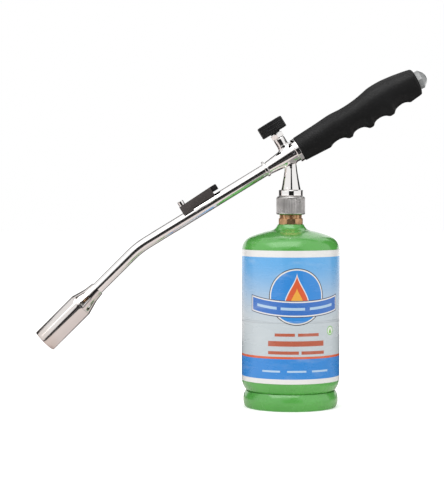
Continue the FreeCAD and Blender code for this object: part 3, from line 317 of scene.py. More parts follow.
@dataclass(frozen=True)
class Enamel(Finish):
    """Glossy stoved enamel on drawn steel, with slight orange peel, dust and rubbed spots."""

    colour: Colour = (0.078, 0.32, 0.055)
    deep: Colour = (0.06, 0.265, 0.044)

    def paint(self, graph: Graph) -> bpy.types.Material:
        """Build the enamel.

        Args:
            graph: The material under construction.

        Returns:
            The material.
        """
        cloud = graph.noise(14.0, 4.0)
        peel = graph.noise(900.0, 2.0)
        dust = graph.noise(2600.0, 1.0)
        chips = graph.cells(210.0)
        spots = graph.ramp(chips, 0.05, 0.09, 1.0, 0.0)
        worn = graph.step("MULTIPLY", spots, graph.ramp(graph.noise(60.0), 0.66, 0.72, 0.0, 1.0))
        base = graph.mix(graph.ramp(cloud, 0.3, 0.7, 0.0, 1.0), self.deep, self.colour)
        base = graph.mix(graph.step("MULTIPLY", worn, 0.55), base, (0.12, 0.2, 0.1))
        gloss = graph.ramp(graph.noise(45.0, 5.0), 0.3, 0.75, 0.2, 0.34)
        lift = graph.bump(peel, 0.00003, 0.35)
        lift = graph.bump(dust, 0.00001, 0.2, lift)
        return graph.dress(
            Base_Color=base, Roughness=gloss, Normal=lift, Coat_Weight=0.6, Coat_Roughness=0.08
        )


@dataclass
class Printing:
    """Print on a film, each mark laid over the ones before."""

    graph: Graph
    across: Socket
    up: Socket
    ink: Socket
    bar_edge: float = 0.15
    disc_edge: float = 0.2
    drop_edge: float = 0.015
    drop_taper: float = 1.6
    drop_width: float = 0.46
    drop_end: float = 0.985

    def lay(self, mask: Socket, colour: Colour) -> None:
        """Lay a colour where a mask is 1."""
        self.ink = self.graph.mix(mask, self.ink, colour)

    def bar(self, middle: Point, half: Point, colour: Colour, up: Socket | None = None) -> None:
        """Lay a plain bar.

        Args:
            middle: Its middle, round the film and up it.
            half: Half its length and half its height.
            colour: Its colour.
            up: Height that a curved bar follows.
        """
        step = self.graph.step
        reach = step("SUBTRACT", self.graph.apart(self.across, middle[0]), half[0])
        rise = step("SUBTRACT", self.graph.apart(self.up if up is None else up, middle[1]), half[1])
        outside = step("MAXIMUM", reach, rise)
        self.lay(self.graph.ramp(outside, -self.bar_edge, self.bar_edge, 1.0, 0.0), colour)

    def disc(self, middle: Point, radius: float, colour: Colour) -> None:
        """Lay a disc.

        Args:
            middle: Its middle.
            radius: Its radius.
            colour: Its colour.
        """
        step = self.graph.step
        dx = step("POWER", step("SUBTRACT", self.across, middle[0]), 2.0)
        dy = step("POWER", step("SUBTRACT", self.up, middle[1]), 2.0)
        away = step("SQRT", step("ADD", dx, dy))
        self.lay(
            self.graph.ramp(away, radius - self.disc_edge, radius + self.disc_edge, 1.0, 0.0),
            colour
        )

    def drop(self, middle: Point, size: float, colour: Colour) -> None:
        """Lay a plain drop with its tip up.

        Args:
            middle: Its middle.
            size: Half its height.
            colour: Its colour.
        """
        step = self.graph.step
        x = step("ABSOLUTE", step("DIVIDE", step("SUBTRACT", self.across, middle[0]), size))
        y = step("DIVIDE", step("SUBTRACT", self.up, middle[1]), size)
        belly = step("POWER", step("MAXIMUM", step("ADD", y, 1.0), 0.0), 0.5)
        tip = step("POWER", step("MAXIMUM", step("SUBTRACT", 1.0, y), 0.0), self.drop_taper)
        width = step("MULTIPLY", step("MULTIPLY", belly, tip), self.drop_width)
        beyond = step("SUBTRACT", step("ABSOLUTE", y), self.drop_end)
        edge = step("MAXIMUM", step("SUBTRACT", x, width), beyond)
        self.lay(self.graph.ramp(edge, -self.drop_edge, self.drop_edge, 1.0, 0.0), colour)


@dataclass(frozen=True)
class WrapPrint(Finish):
    """Printed wrap film: colour bands, a round drop badge, a ribbon and plain bars, in the sleeve's millimetres."""

    radius: float = 49.0
    badge_turn: float = 5.0
    badge_height: float = 113.0
    badge_radius: float = 28.0
    ribbon_height: float = 101.0
    ribbon_bow: float = 0.0022
    seam: float = 88.0
    overlap: float = -168.0
    leaf_place: Point = (38.5, 79.0)
    band_edge: float = 0.1
    white: Colour = (0.60, 0.59, 0.575)
    blue: Colour = (0.022, 0.185, 0.50)
    sky: Colour = (0.085, 0.30, 0.575)
    pale: Colour = (0.41, 0.45, 0.47)
    orange: Colour = (0.52, 0.085, 0.028)
    amber: Colour = (0.62, 0.30, 0.04)
    rust: Colour = (0.36, 0.085, 0.045)
    leaf: Colour = (0.16, 0.42, 0.08)
    rim: Colour = (0.05, 0.05, 0.06)

    def badge(self, film: Printing) -> None:
        """Lay the round badge with its drop, and the bowed ribbon over it.

        Args:
            film: The print.
        """
        for inset, colour in ((0.0, self.rim), (0.9, self.white), (2.1, self.blue)):
            film.disc((0.0, self.badge_height), self.badge_radius - inset, colour)
        for size, colour in ((19.5, self.white), (18.0, self.orange), (10.0, self.amber)):
            film.drop((0.0, self.badge_height + 3.0 - (18.0 - size) * 0.5), size, colour)
        step = film.graph.step
        curved = step(
            "SUBTRACT", film.up, step("MULTIPLY", step("POWER", film.across, 2.0), self.ribbon_bow)
        )
        for half, colour in (
            ((50.0, 8.2), (0.04, 0.05, 0.10)),
            ((49.2, 7.4), self.white),
            ((48.0, 6.2), (0.03, 0.125, 0.40)),
        ):
            film.bar((0.0, self.ribbon_height), half, colour, curved)
        for middle, reach in ((-31.0, 11.0), (-4.0, 12.0), (27.0, 14.0)):
            film.bar((middle, self.ribbon_height), (reach, 1.3), (0.32, 0.45, 0.58), curved)

    def bars(self, film: Printing) -> None:
        """Lay the plain bars, the small leaf mark and the two rear panels.

        Args:
            film: The print.
        """
        for middle, half in (
            ((-12.0, 75.8), (10.0, 1.5)),
            ((12.0, 75.8), (11.0, 1.5)),
            ((0.0, 67.2), (29.0, 2.6)),
            ((-13.5, 58.3), (15.5, 1.6)),
            ((17.0, 58.3), (12.5, 1.6)),
        ):
            film.bar(middle, half, self.rust)
        for middle in (-26.0, 0.0, 25.0):
            film.bar((middle, 40.0), (9.5, 0.9), (0.34, 0.47, 0.60))
        film.disc(self.leaf_place, 4.6, self.leaf)
        film.disc(self.leaf_place, 3.7, self.white)
        film.drop(self.leaf_place, 2.9, self.leaf)
        for side in (-102.0, 102.0):
            for row in range(7):
                film.bar(
                    (side, 124.0 - 7.5 * row), (26.0 - 4.0 * (row % 3), 1.1), (0.16, 0.22, 0.32)
                )

    def paint(self, graph: Graph) -> bpy.types.Material:
        """Build the print.

        Args:
            graph: The material under construction.

        Returns:
            The material.
        """
        x, y, z = graph.axes()
        up = graph.step("MULTIPLY", z, 1.0 / MM)
        angle = graph.step("ARCTAN2", x, graph.step("MULTIPLY", y, -1.0))
        turned = graph.step("SUBTRACT", angle, math.radians(self.badge_turn))
        across = graph.step("MULTIPLY", turned, self.radius)
        film = Printing(
            graph, across, up, graph.mix(graph.ramp(up, 84.0, 150.0, 0.0, 1.0), self.pale, self.sky)
        )
        for level, colour in ((54.5, self.orange), (52.3, self.blue), (32.3, self.white)):
            film.lay(
                graph.ramp(up, level - self.band_edge, level + self.band_edge, 1.0, 0.0), colour
            )
        film.lay(graph.ramp(up, 151.4, 151.6, 0.0, 1.0), self.white)
        self.badge(film)
        self.bars(film)
        scuff = graph.noise(38.0, 6.0, graph.stretched((1.0, 1.0, 3.5)))
        film.lay(graph.ramp(scuff, 0.55, 0.8, 0.0, 0.14), (0.62, 0.63, 0.64))
        lap = graph.apart(angle, math.radians(self.overlap))
        film.lay(graph.ramp(lap, 0.004, 0.008, 0.35, 0.0), (0.3, 0.33, 0.36))
        # Seam ridge: the bump below is its real relief, and the darker band laid on the print along it is painted
        # shade.
        ridge = graph.ramp(graph.apart(up, self.seam), 0.3, 1.6, 1.0, 0.0)
        film.lay(graph.step("MULTIPLY", ridge, 0.16), (0.25, 0.28, 0.31))
        lift = graph.bump(ridge, 0.0006, 0.9)
        lift = graph.bump(
            graph.noise(120.0, 3.0, graph.stretched((1.0, 1.0, 0.35))), 0.00025, 0.12, lift
        )
        lift = graph.bump(graph.noise(1800.0, 2.0), 0.00001, 0.2, lift)
        gloss = graph.ramp(scuff, 0.3, 0.8, 0.2, 0.36)
        return graph.dress(
            Base_Color=film.ink, Roughness=gloss, Normal=lift, Coat_Weight=0.35, Coat_Roughness=0.12
        )


@dataclass(frozen=True)
class Plate(Finish):
    """Bright nickel-chrome plate: near-mirror, with soft smears and hairline scratches."""

    colour: Colour = (0.87, 0.85, 0.84)
    haze: float = 0.03
    smear: float = 0.08

    def paint(self, graph: Graph) -> bpy.types.Material:
        """Build the plating.

        Args:
            graph: The material under construction.

        Returns:
            The material.
        """
        smears = graph.noise(30.0, 5.0)
        hair = graph.noise(260.0, 2.0, graph.stretched((1.0, 6.0, 1.0), (0.0, -0.55, 0.0)))
        stain = graph.noise(12.0, 3.0)
        base = graph.mix(graph.ramp(stain, 0.45, 0.75, 0.0, 0.25), self.colour, (0.72, 0.68, 0.65))
        gloss = graph.ramp(smears, 0.35, 0.75, self.haze, self.smear)
        gloss = graph.step("ADD", gloss, graph.ramp(hair, 0.62, 0.7, 0.0, 0.06))
        lift = graph.bump(hair, 0.00001, 0.12)
        return graph.dress(Base_Color=base, Metallic=1.0, Roughness=gloss, Normal=lift)


@dataclass(frozen=True)
class TurnedMetal(Finish):
    """Machined or cast metal with tool rings about an axis, dull patches and dark specks."""

    colour: Colour = (0.56, 0.33, 0.14)
    dull: Colour = (0.20, 0.10, 0.04)
    rough_low: float = 0.22
    rough_high: float = 0.45
    rings: float = 1500.0
    ring_axis: Point = (0.02, 0.02, 1.0)

    def paint(self, graph: Graph) -> bpy.types.Material:
        """Build the machined metal.

        Args:
            graph: The material under construction.

        Returns:
            The material.
        """
        patch = graph.noise(95.0, 5.0)
        rings = graph.noise(self.rings, 1.0, graph.stretched(self.ring_axis))
        speck = graph.noise(1500.0, 2.0)
        base = graph.mix(graph.ramp(patch, 0.42, 0.7, 0.0, 0.8), self.colour, self.dull)
        base = graph.mix(graph.ramp(speck, 0.62, 0.8, 0.0, 0.3), base, self.dull)
        gloss = graph.ramp(patch, 0.3, 0.75, self.rough_low, self.rough_high)
        lift = graph.bump(rings, 0.00004, 0.3)
        lift = graph.bump(speck, 0.00002, 0.25, lift)
        return graph.dress(Base_Color=base, Metallic=1.0, Roughness=gloss, Normal=lift)


@dataclass(frozen=True)
class HeatSteel(Finish):
    """Polished stainless with straw and bronze heat tint that fades back from the mouth, and soot inside."""

    mouth: Point = (0.0, 0.0, 0.0)
    back: Point = (0.7, 0.0, 0.7)
    inner: float = 0.0119
    tint_reach: float = 0.018
    scorch_reach: float = 0.004
    soot_reach: float = 0.05

    def paint(self, graph: Graph) -> bpy.types.Material:
        """Build the heated steel.

        Args:
            graph: The material under construction.

        Returns:
            The material.
        """
        offset = graph.node("VectorMath", operation="SUBTRACT")
        graph.feed(offset.inputs[0], graph.place())
        offset.inputs[1].default_value = self.mouth
        dot = graph.node("VectorMath", operation="DOT_PRODUCT")
        graph.feed(dot.inputs[0], offset.outputs[0])
        dot.inputs[1].default_value = self.back
        along = dot.outputs["Value"]
        length = graph.node("VectorMath", operation="LENGTH")
        graph.feed(length.inputs[0], offset.outputs[0])
        whole = graph.step("POWER", length.outputs["Value"], 2.0)
        beside = graph.step("SUBTRACT", whole, graph.step("POWER", along, 2.0))
        away = graph.step("SQRT", graph.step("MAXIMUM", beside, 0.0))
        wander = graph.step("MULTIPLY", graph.step("SUBTRACT", graph.noise(70.0, 4.0), 0.5), 0.012)
        reach = graph.step("ADD", along, wander)
        base = graph.mix(
            graph.ramp(reach, 0.0, self.tint_reach, 0.34, 0.0), (0.76, 0.72, 0.70),
            (0.55, 0.42, 0.34)
        )
        base = graph.mix(
            graph.ramp(reach, 0.0, self.scorch_reach, 0.4, 0.0), base, (0.22, 0.17, 0.18)
        )
        inside = graph.ramp(away, self.inner - 0.0003, self.inner, 1.0, 0.0)
        before_cone = graph.ramp(along, self.soot_reach, self.soot_reach + 0.0015, 1.0, 0.0)
        soot = graph.step("MULTIPLY", inside, before_cone)
        base = graph.mix(graph.step("MULTIPLY", soot, 0.8), base, (0.07, 0.06, 0.055))
        smears = graph.noise(45.0, 5.0)
        gloss = graph.ramp(smears, 0.3, 0.75, 0.09, 0.15)
        gloss = graph.step("ADD", gloss, graph.step("MULTIPLY", soot, 0.4))
        lift = graph.bump(graph.noise(240.0, 2.0), 0.000004, 0.1)
        return graph.dress(Base_Color=base, Metallic=1.0, Roughness=gloss, Normal=lift)


@dataclass(frozen=True)
class Moulding(Finish):
    """Moulded plastic or rubber with a fine spark grain, faint flow clouds and handling shine."""

    colour: Colour = (0.016, 0.016, 0.016)
    worn: Colour = (0.03, 0.03, 0.03)
    rough_low: float = 0.42
    rough_high: float = 0.6
    grain: float = 2400.0
    grain_depth: float = 0.00004
    specular: float = 0.5
    rub: float = 3.0

    def paint(self, graph: Graph) -> bpy.types.Material:
        """Build the moulding.

        Args:
            graph: The material under construction.

        Returns:
            The material.
        """
        cloud = graph.noise(28.0, 4.0)
        grain = graph.noise(self.grain, 2.0)
        scuffs = graph.noise(150.0, 4.0, graph.stretched((1.0, 2.5, 1.0), (0.0, -0.55, 0.0)))
        base = graph.mix(graph.ramp(cloud, 0.35, 0.7, 0.0, 1.0), self.colour, self.worn)
        rubbed = tuple(min(1.0, c * self.rub) for c in self.worn)
        base = graph.mix(graph.ramp(scuffs, 0.66, 0.74, 0.0, 0.25), base, rubbed)
        gloss = graph.ramp(cloud, 0.3, 0.7, self.rough_high, self.rough_low)
        lift = graph.bump(grain, self.grain_depth, 0.5)
        return graph.dress(
            Base_Color=base,
            Roughness=gloss,
            Normal=lift,
            Specular_IOR_Level=self.specular,
        )


@dataclass(frozen=True)
class Glaze(Finish):
    """Glazed white ceramic with fine specks and brown heat patches."""

    def paint(self, graph: Graph) -> bpy.types.Material:
        """Build the glaze.

        Args:
            graph: The material under construction.

        Returns:
            The material.
        """
        specks = graph.noise(1400.0, 2.0)
        base = graph.mix(
            graph.ramp(specks, 0.68, 0.75, 0.0, 0.5), (0.82, 0.80, 0.74), (0.35, 0.27, 0.2)
        )
        base = graph.mix(
            graph.ramp(graph.noise(90.0), 0.55, 0.75, 0.0, 0.4), base, (0.5, 0.42, 0.33)
        )
        lift = graph.bump(graph.noise(700.0), 0.00001, 0.2)
        return graph.dress(Base_Color=base, Roughness=0.18, Normal=lift, Coat_Weight=0.5)


@dataclass(frozen=True)
class Wire(Finish):
    """Drawn or sheet steel for springs, pins, screws and seams."""

    colour: Colour = (0.55, 0.55, 0.56)

    def paint(self, graph: Graph) -> bpy.types.Material:
        """Build the drawn steel.

        Args:
            graph: The material under construction.

        Returns:
            The material.
        """
        streak = graph.noise(700.0, 2.0, graph.stretched((1.0, 1.0, 0.15)))
        base = graph.mix(
            graph.ramp(graph.noise(160.0), 0.5, 0.75, 0.0, 0.5), self.colour, (0.3, 0.28, 0.26)
        )
        gloss = graph.ramp(streak, 0.3, 0.7, 0.2, 0.38)
        return graph.dress(
            Base_Color=base, Metallic=1.0, Roughness=gloss, Normal=graph.bump(streak, 0.00002, 0.3)
        )


ENAMEL = Enamel("green_enamel", "green_paint")
PRINT = WrapPrint("printed_wrap", "label_film")
CHROME = Plate("bright_plate", "chrome")
BURNER = HeatSteel(
    "heat_tinted_steel",
    "heat_steel",
    mouth=(-0.246598, 0.0, 0.065554),
    back=(math.cos(math.radians(44.8)), 0.0, math.sin(math.radians(44.8))),
)
BRASS = TurnedMetal(
    "turned_brass", "valve_brass", (0.66, 0.40, 0.215), (0.34, 0.20, 0.11), 0.28, 0.46
)
NUT_GREY = TurnedMetal(
    "satin_nut", "nut_metal", (0.60, 0.585, 0.575), (0.42, 0.41, 0.405), 0.26, 0.38
)
BRONZE = TurnedMetal(
    "sintered_bronze", "bronze_filter", (0.42, 0.25, 0.12), (0.2, 0.12, 0.06), 0.5, 0.8
)
KNOB_BLACK = Moulding(
    "knob_moulding", "black_knob", (0.005, 0.005, 0.0055), (0.009, 0.009, 0.0095), 0.34, 0.5, specular=0.24
)
GRIP_BLACK = Moulding(
    "grip_moulding", "grip_plastic", (0.005, 0.005, 0.0052), (0.008, 0.008, 0.0083), 0.4, 0.52, 1500.0, 0.00006,
    specular=0.2,
)
BLOCK_BLACK = Moulding(
    "block_moulding", "block_plastic", (0.032, 0.026, 0.025), (0.055, 0.046, 0.044), 0.5, 0.7, 900.0, 0.00025,
    specular=0.3,
)
CORE_BLACK = Moulding(
    "core_moulding", "core_plastic", (0.03, 0.03, 0.032), (0.05, 0.05, 0.05), 0.45, 0.6
)
BUTTON_GREY = Moulding(
    "button_moulding", "button_grey", (0.165, 0.17, 0.17), (0.205, 0.21, 0.21), 0.12, 0.2, 1800.0, 0.00001,
    specular=0.9,
)
PIEZO_CASE = Moulding("piezo_moulding", "piezo_case", (0.5, 0.32, 0.08), (0.6, 0.4, 0.1), 0.35, 0.5)
RUBBER = Moulding(
    "seal_rubber_black", "seal_rubber", (0.02, 0.02, 0.02), (0.035, 0.033, 0.03), 0.55, 0.75
)
SILICONE = Moulding(
    "lead_silicone", "lead_jacket", (0.4, 0.05, 0.035), (0.5, 0.08, 0.05), 0.4, 0.55
)
CERAMIC = Glaze("glazed_ceramic", "ceramic")
STEEL = Wire("screw_steel", "steel")
SPRING = Wire("spring_wire", "spring_steel", (0.5, 0.5, 0.52))
WELD = Wire("weld_bead", "weld_steel", (0.36, 0.34, 0.33))
FINISHES = (
    ENAMEL, PRINT, CHROME, BURNER, BRASS, NUT_GREY, BRONZE, KNOB_BLACK, GRIP_BLACK, BLOCK_BLACK,
    CORE_BLACK, BUTTON_GREY, PIEZO_CASE, RUBBER, SILICONE, CERAMIC, STEEL, SPRING, WELD,
)


# ------------------------------------------------------------------ outlines and meshes


def leaning(origin: Point, pitch: float) -> Matrix:
    """Frame whose X axis is raised by a pitch about the side axis.

    Args:
        origin: Its place in millimetres.
        pitch: How far X is raised, in degrees.

    Returns:
        The frame, in millimetres.
    """
    return Matrix.Translation(origin) @ Matrix.Rotation(-math.radians(pitch), 4, "Y")


TO_X = Matrix.Rotation(math.pi / 2, 4, "Y")


def rounded(outline: Sequence[Point], closed: bool) -> list[Vector]:
    """Outline with its corners rounded.

    Args:
        outline: Radius, height and, where the corner is rounded, its radius.
        closed: Whether the last point joins the first.

    Returns:
        Points of the rounded outline.
    """
    made: list[Vector] = []
    count = len(outline)
    for index, corner in enumerate(outline):
        here = Vector(corner[:2])
        inner = closed or 0 < index < count - 1
        if len(corner) < 3 or not inner:
            made.append(here)
            continue
        before = Vector(outline[index - 1][:2]) - here
        after = Vector(outline[(index + 1) % count][:2]) - here
        half = before.angle(after) / 2
        reach = min(corner[2] / math.tan(half), 0.48 * before.length, 0.48 * after.length)
        before.normalize()
        after.normalize()
        radius = reach * math.tan(half)
        centre = here + (before + after).normalized() * radius / math.sin(half)
        start = here + before * reach - centre
        end = here + after * reach - centre
        sweep = math.pi - 2 * half
        for step in range(ARC_STEPS + 1):
            share = step / ARC_STEPS
            weight = math.sin((1 - share) * sweep), math.sin(share * sweep)
            made.append(centre + (start * weight[0] + end * weight[1]) / math.sin(sweep))
    return made


def divided(points: Sequence[Vector], step: float, closed: bool) -> list[Vector]:
    """Outline with its long runs divided.

    Args:
        points: The outline.
        step: Longest run left.
        closed: Whether the last point joins the first.

    Returns:
        The finer outline.
    """
    made: list[Vector] = []
    runs = len(points) if closed else len(points) - 1
    for index in range(runs):
        here, there = points[index], points[(index + 1) % len(points)]
        parts = max(1, math.ceil((there - here).length / step))
        made += [here.lerp(there, part / parts) for part in range(parts)]
    return made if closed else [*made, points[-1]]


def through(start: Point, middle: Point, end: Point, steps: int = 16) -> list[Point]:
    """Points of the arc through three points.

    Args:
        start: First point.
        middle: A point on the way.
        end: Last point.
        steps: Steps along the arc.

    Returns:
        Points from start to end.
    """
    (ax, ay), (bx, by), (cx, cy) = start, middle, end
    turn = 2 * (ax * (by - cy) + bx * (cy - ay) + cx * (ay - by))
    a2, b2, c2 = ax * ax + ay * ay, bx * bx + by * by, cx * cx + cy * cy
    ox = (a2 * (by - cy) + b2 * (cy - ay) + c2 * (ay - by)) / turn
    oy = (a2 * (cx - bx) + b2 * (ax - cx) + c2 * (bx - ax)) / turn
    radius = math.hypot(ax - ox, ay - oy)
    first = math.atan2(ay - oy, ax - ox)
    via = (math.atan2(by - oy, bx - ox) - first) % math.tau
    last = (math.atan2(cy - oy, cx - ox) - first) % math.tau
    if via > last:
        last -= math.tau
    return [
        (
            ox + radius * math.cos(first + last * k / steps),
            oy + radius * math.sin(first + last * k / steps)
        )
        for k in range(steps + 1)
    ]


def skin(rings: Sequence[Sequence[Vector]], closed: bool) -> bmesh.types.BMesh:
    """Mesh over a row of rings; a ring of one point is a pole.

    Args:
        rings: Rings of equal length, or single points.
        closed: Whether the last ring joins the first.

    Returns:
        The closed mesh, normals outwards.
    """
    mesh = bmesh.new()
    rows = [[mesh.verts.new(point) for point in points] for points in rings]
    pairs = list(zip(rows, rows[1:])) + ([(rows[-1], rows[0])] if closed else [])
    for low, high in pairs:
        count = max(len(low), len(high))
        for index in range(count):
            follow = (index + 1) % count
            corners = [row[k % len(row)] for row, k in (
                (low, index), (low, follow), (high, follow), (high, index)
            )]
            mesh.faces.new(list(dict.fromkeys(corners)))
    bmesh.ops.recalc_face_normals(mesh, faces=mesh.faces)
    return mesh


def lathe(
    outline: Sequence[Point],
    segments: int = 128,
    step: float = WHOLE_RUN,
    shape: Callable[[float, float, float], float] | None = None,
) -> bmesh.types.BMesh:
    """Turned mesh about Z from an outline of radius and height.

    Args:
        outline: Radius, height and optional corner radius; it starts and ends on the axis or is a closed loop.
        segments: Faces round.
        step: Longest run of the outline left undivided.
        shape: Radius from angle, radius and height, for flats.

    Returns:
        The closed mesh.
    """
    closed = outline[0][0] > 0
    points = divided(rounded(outline, closed), step, closed)
    rings = []
    for radius, height in points:
        if radius <= POLE:
            rings.append([Vector((0.0, 0.0, height))])
            continue
        ring = []
        for index in range(segments):
            angle = math.tau * index / segments
            reach = radius if shape is None else shape(angle, radius, height)
            ring.append(Vector((reach * math.cos(angle), reach * math.sin(angle), height)))
        rings.append(ring)
    return skin(rings, closed)


def smoothed(points: Sequence[Point]) -> Callable[[float], float]:
    """Smooth curve through points, flat outside them.

    Args:
        points: Places and values, in order.

    Returns:
        The curve as a function.
    """
    places = [p[0] for p in points]
    values = [p[1] for p in points]
    last = len(points) - 1
    slopes = []
    for i in range(len(points)):
        low, high = max(0, i - 1), min(last, i + 1)
        slopes.append((values[high] - values[low]) / (places[high] - places[low]))

    def curve(place: float) -> float:
        """Value at a place.

        Args:
            place: Where the curve is read.

        Returns:
            Its value there.
        """
        if place <= places[0]:
            return values[0]
        if place >= places[-1]:
            return values[-1]
        i = next(k for k in range(last) if place <= places[k + 1])
        width = places[i + 1] - places[i]
        t = (place - places[i]) / width
        return (
            (2 * t**3 - 3 * t**2 + 1) * values[i]
            + (t**3 - 2 * t**2 + t) * width * slopes[i]
            + (3 * t**2 - 2 * t**3) * values[i + 1]
            + (t**3 - t**2) * width * slopes[i + 1]
        )

    return curve


def flat_reach(angle: float, sides: int, half: float, turn: float = 0.0) -> float:
    """Distance from the middle of a regular polygon to its side.

    Args:
        angle: Direction in radians.
        sides: How many sides.
        half: Half its width across flats.
        turn: How far the polygon is turned.

    Returns:
        The distance.
    """
    part = math.tau / sides
    return half / math.cos((angle + turn) % part - part / 2)


def heights(box: Sequence[Vector]) -> tuple[float, float]:
    """Lowest and highest level of a box, in millimetres."""
    return box[0].z / MM, box[1].z / MM


def ease(value: float, low: float, high: float) -> float:
    """Smooth step from 0 at low to 1 at high."""
    share = min(1.0, max(0.0, (value - low) / (high - low)))
    return share * share * (3 - 2 * share)


def settled(piece: bpy.types.Object) -> None:
    """Replace a piece's mesh by its evaluated one and take its modifiers off.

    Args:
        piece: The object.
    """
    graph = bpy.context.evaluated_depsgraph_get()
    graph.update()
    made = bpy.data.meshes.new_from_object(piece.evaluated_get(graph))
    old = piece.data
    piece.modifiers.clear()
    piece.data = made
    bpy.data.meshes.remove(old)
    made.name = piece.name


def as_object(name: str, mesh: bmesh.types.BMesh) -> bpy.types.Object:
    """Object of a mesh under construction, linked to the scene.

    Args:
        name: Its name.
        mesh: The mesh; it is freed.

    Returns:
        The object.
    """
    data = bpy.data.meshes.new(name)
    mesh.to_mesh(data)
    mesh.free()
    made = bpy.data.objects.new(name, data)
    bpy.context.scene.collection.objects.link(made)
    return made


# ------------------------------------------------------------------ geometry nodes: knurls, notches and threads


class KnurlTree(Wiring):
    """Node tree that cuts a repeating pattern into the outside of a turned blank."""

    NAME = "cut_pattern"
    FLOATS = (
        "Around A", "Along A", "Around B", "Along B", "Depth", "Radius", "Low", "High", "Fade",
        "Groove", "Land",
    )
    LEAST_REACH = 0.001

    def __init__(self) -> None:
        """Build the tree, or take the one already built."""
        ready = bpy.data.node_groups.get(self.NAME)
        self.tree = ready if ready is not None else bpy.data.node_groups.new(
            self.NAME, "GeometryNodeTree"
        )
        if ready is None:
            self.wire_up()

    def lands(
        self, given: bpy.types.bpy_prop_collection, turn: Socket, height: Socket
    ) -> list[Socket]:
        """Profiles of the two crossing cuts.

        Args:
            given: The tree's inputs.
            turn: Share of a turn.
            height: Height along the axis.

        Returns:
            For each cut, 0 in its groove and 1 on its land.
        """
        made = []
        for side in "AB":
            around = self.step("MULTIPLY", turn, given["Around " + side])
            along = self.step("MULTIPLY", height, given["Along " + side])
            phase = self.step("FRACT", self.step("ADD", around, along))
            wave = self.step("MULTIPLY", self.apart(phase, 0.5), 2.0)
            made.append(self.ramp(wave, given["Groove"], given["Land"], 0.0, 1.0))
        return made

    def wire_up(self) -> None:
        """Add the sockets, nodes and links."""
        face = self.tree.interface
        face.new_socket(name="Geometry", in_out="INPUT", socket_type="NodeSocketGeometry")
        for name in self.FLOATS:
            face.new_socket(name=name, in_out="INPUT", socket_type="NodeSocketFloat")
        face.new_socket(name="Finish", in_out="INPUT", socket_type="NodeSocketMaterial")
        face.new_socket(name="Geometry", in_out="OUTPUT", socket_type="NodeSocketGeometry")
        nodes, links = self.tree.nodes, self.tree.links
        given = nodes.new("NodeGroupInput").outputs
        place = nodes.new("GeometryNodeInputPosition")
        split = nodes.new("ShaderNodeSeparateXYZ")
        links.new(place.outputs[0], split.inputs[0])
        x, y, z = split.outputs
        turn = self.step("DIVIDE", self.step("ARCTAN2", y, x), math.tau)
        reach = self.step(
            "SQRT", self.step("ADD", self.step("MULTIPLY", x, x), self.step("MULTIPLY", y, y))
        )
        radius, fade = given["Radius"], given["Fade"]
        inner = self.step("SUBTRACT", radius, self.step("MULTIPLY", fade, 2.0))
        skin_only = self.ramp(reach, inner, self.step("SUBTRACT", radius, fade), 0.0, 1.0)
        fade_in = self.ramp(z, given["Low"], self.step("ADD", given["Low"], fade), 0.0, 1.0)
        fade_out = self.ramp(z, self.step("SUBTRACT", given["High"], fade), given["High"], 1.0, 0.0)
        mask = self.step("MULTIPLY", self.step("MULTIPLY", skin_only, fade_in), fade_out)
        sunk = self.step("SUBTRACT", self.step("MINIMUM", *self.lands(given, turn, z)), 1.0)
        depth = self.step("MULTIPLY", self.step("MULTIPLY", sunk, given["Depth"]), mask)
        share = self.step("DIVIDE", depth, self.step("MAXIMUM", reach, self.LEAST_REACH))
        flat = nodes.new("ShaderNodeCombineXYZ")
        links.new(self.step("MULTIPLY", x, share), flat.inputs[0])
        links.new(self.step("MULTIPLY", y, share), flat.inputs[1])
        move = nodes.new("GeometryNodeSetPosition")
        links.new(given["Geometry"], move.inputs["Geometry"])
        links.new(flat.outputs[0], move.inputs["Offset"])
        real = nodes.new("GeometryNodeRealizeInstances")
        links.new(move.outputs[0], real.inputs[0])
        dress = nodes.new("GeometryNodeSetMaterial")
        links.new(real.outputs[0], dress.inputs["Geometry"])
        links.new(given["Finish"], dress.inputs["Material"])
        links.new(dress.outputs[0], nodes.new("NodeGroupOutput").inputs[0])


@dataclass(frozen=True)
class Pattern:
    """A pattern cut into a turned blank, in millimetres of the blank's own frame."""

    radius: float
    low: float
    high: float
    around: tuple[float, float]
    along: tuple[float, float]
    depth: float
    fade: float = 0.5
    groove: float = 0.1
    land: float = 0.6

    def cut(self, blank: bpy.types.Object, finish: Finish) -> None:
        """Cut the pattern into a blank and leave a plain mesh.

        Args:
            blank: The turned object.
            finish: Its finish.
        """
        modifier = blank.modifiers.new("pattern", "NODES")
        modifier.node_group = KnurlTree().tree
        sizes = (
            self.around[0], self.along[0], self.around[1], self.along[1], self.depth, self.radius, self.low,
            self.high, self.fade, self.groove, self.land,
        )
        values = {**dict(zip(KnurlTree.FLOATS, sizes)), "Finish": finish.make()}
        for item in modifier.node_group.interface.items_tree:
            if item.in_out == "INPUT" and item.name in values:
                modifier[item.identifier] = values[item.name]
        settled(blank)


# ------------------------------------------------------------------ assemblies


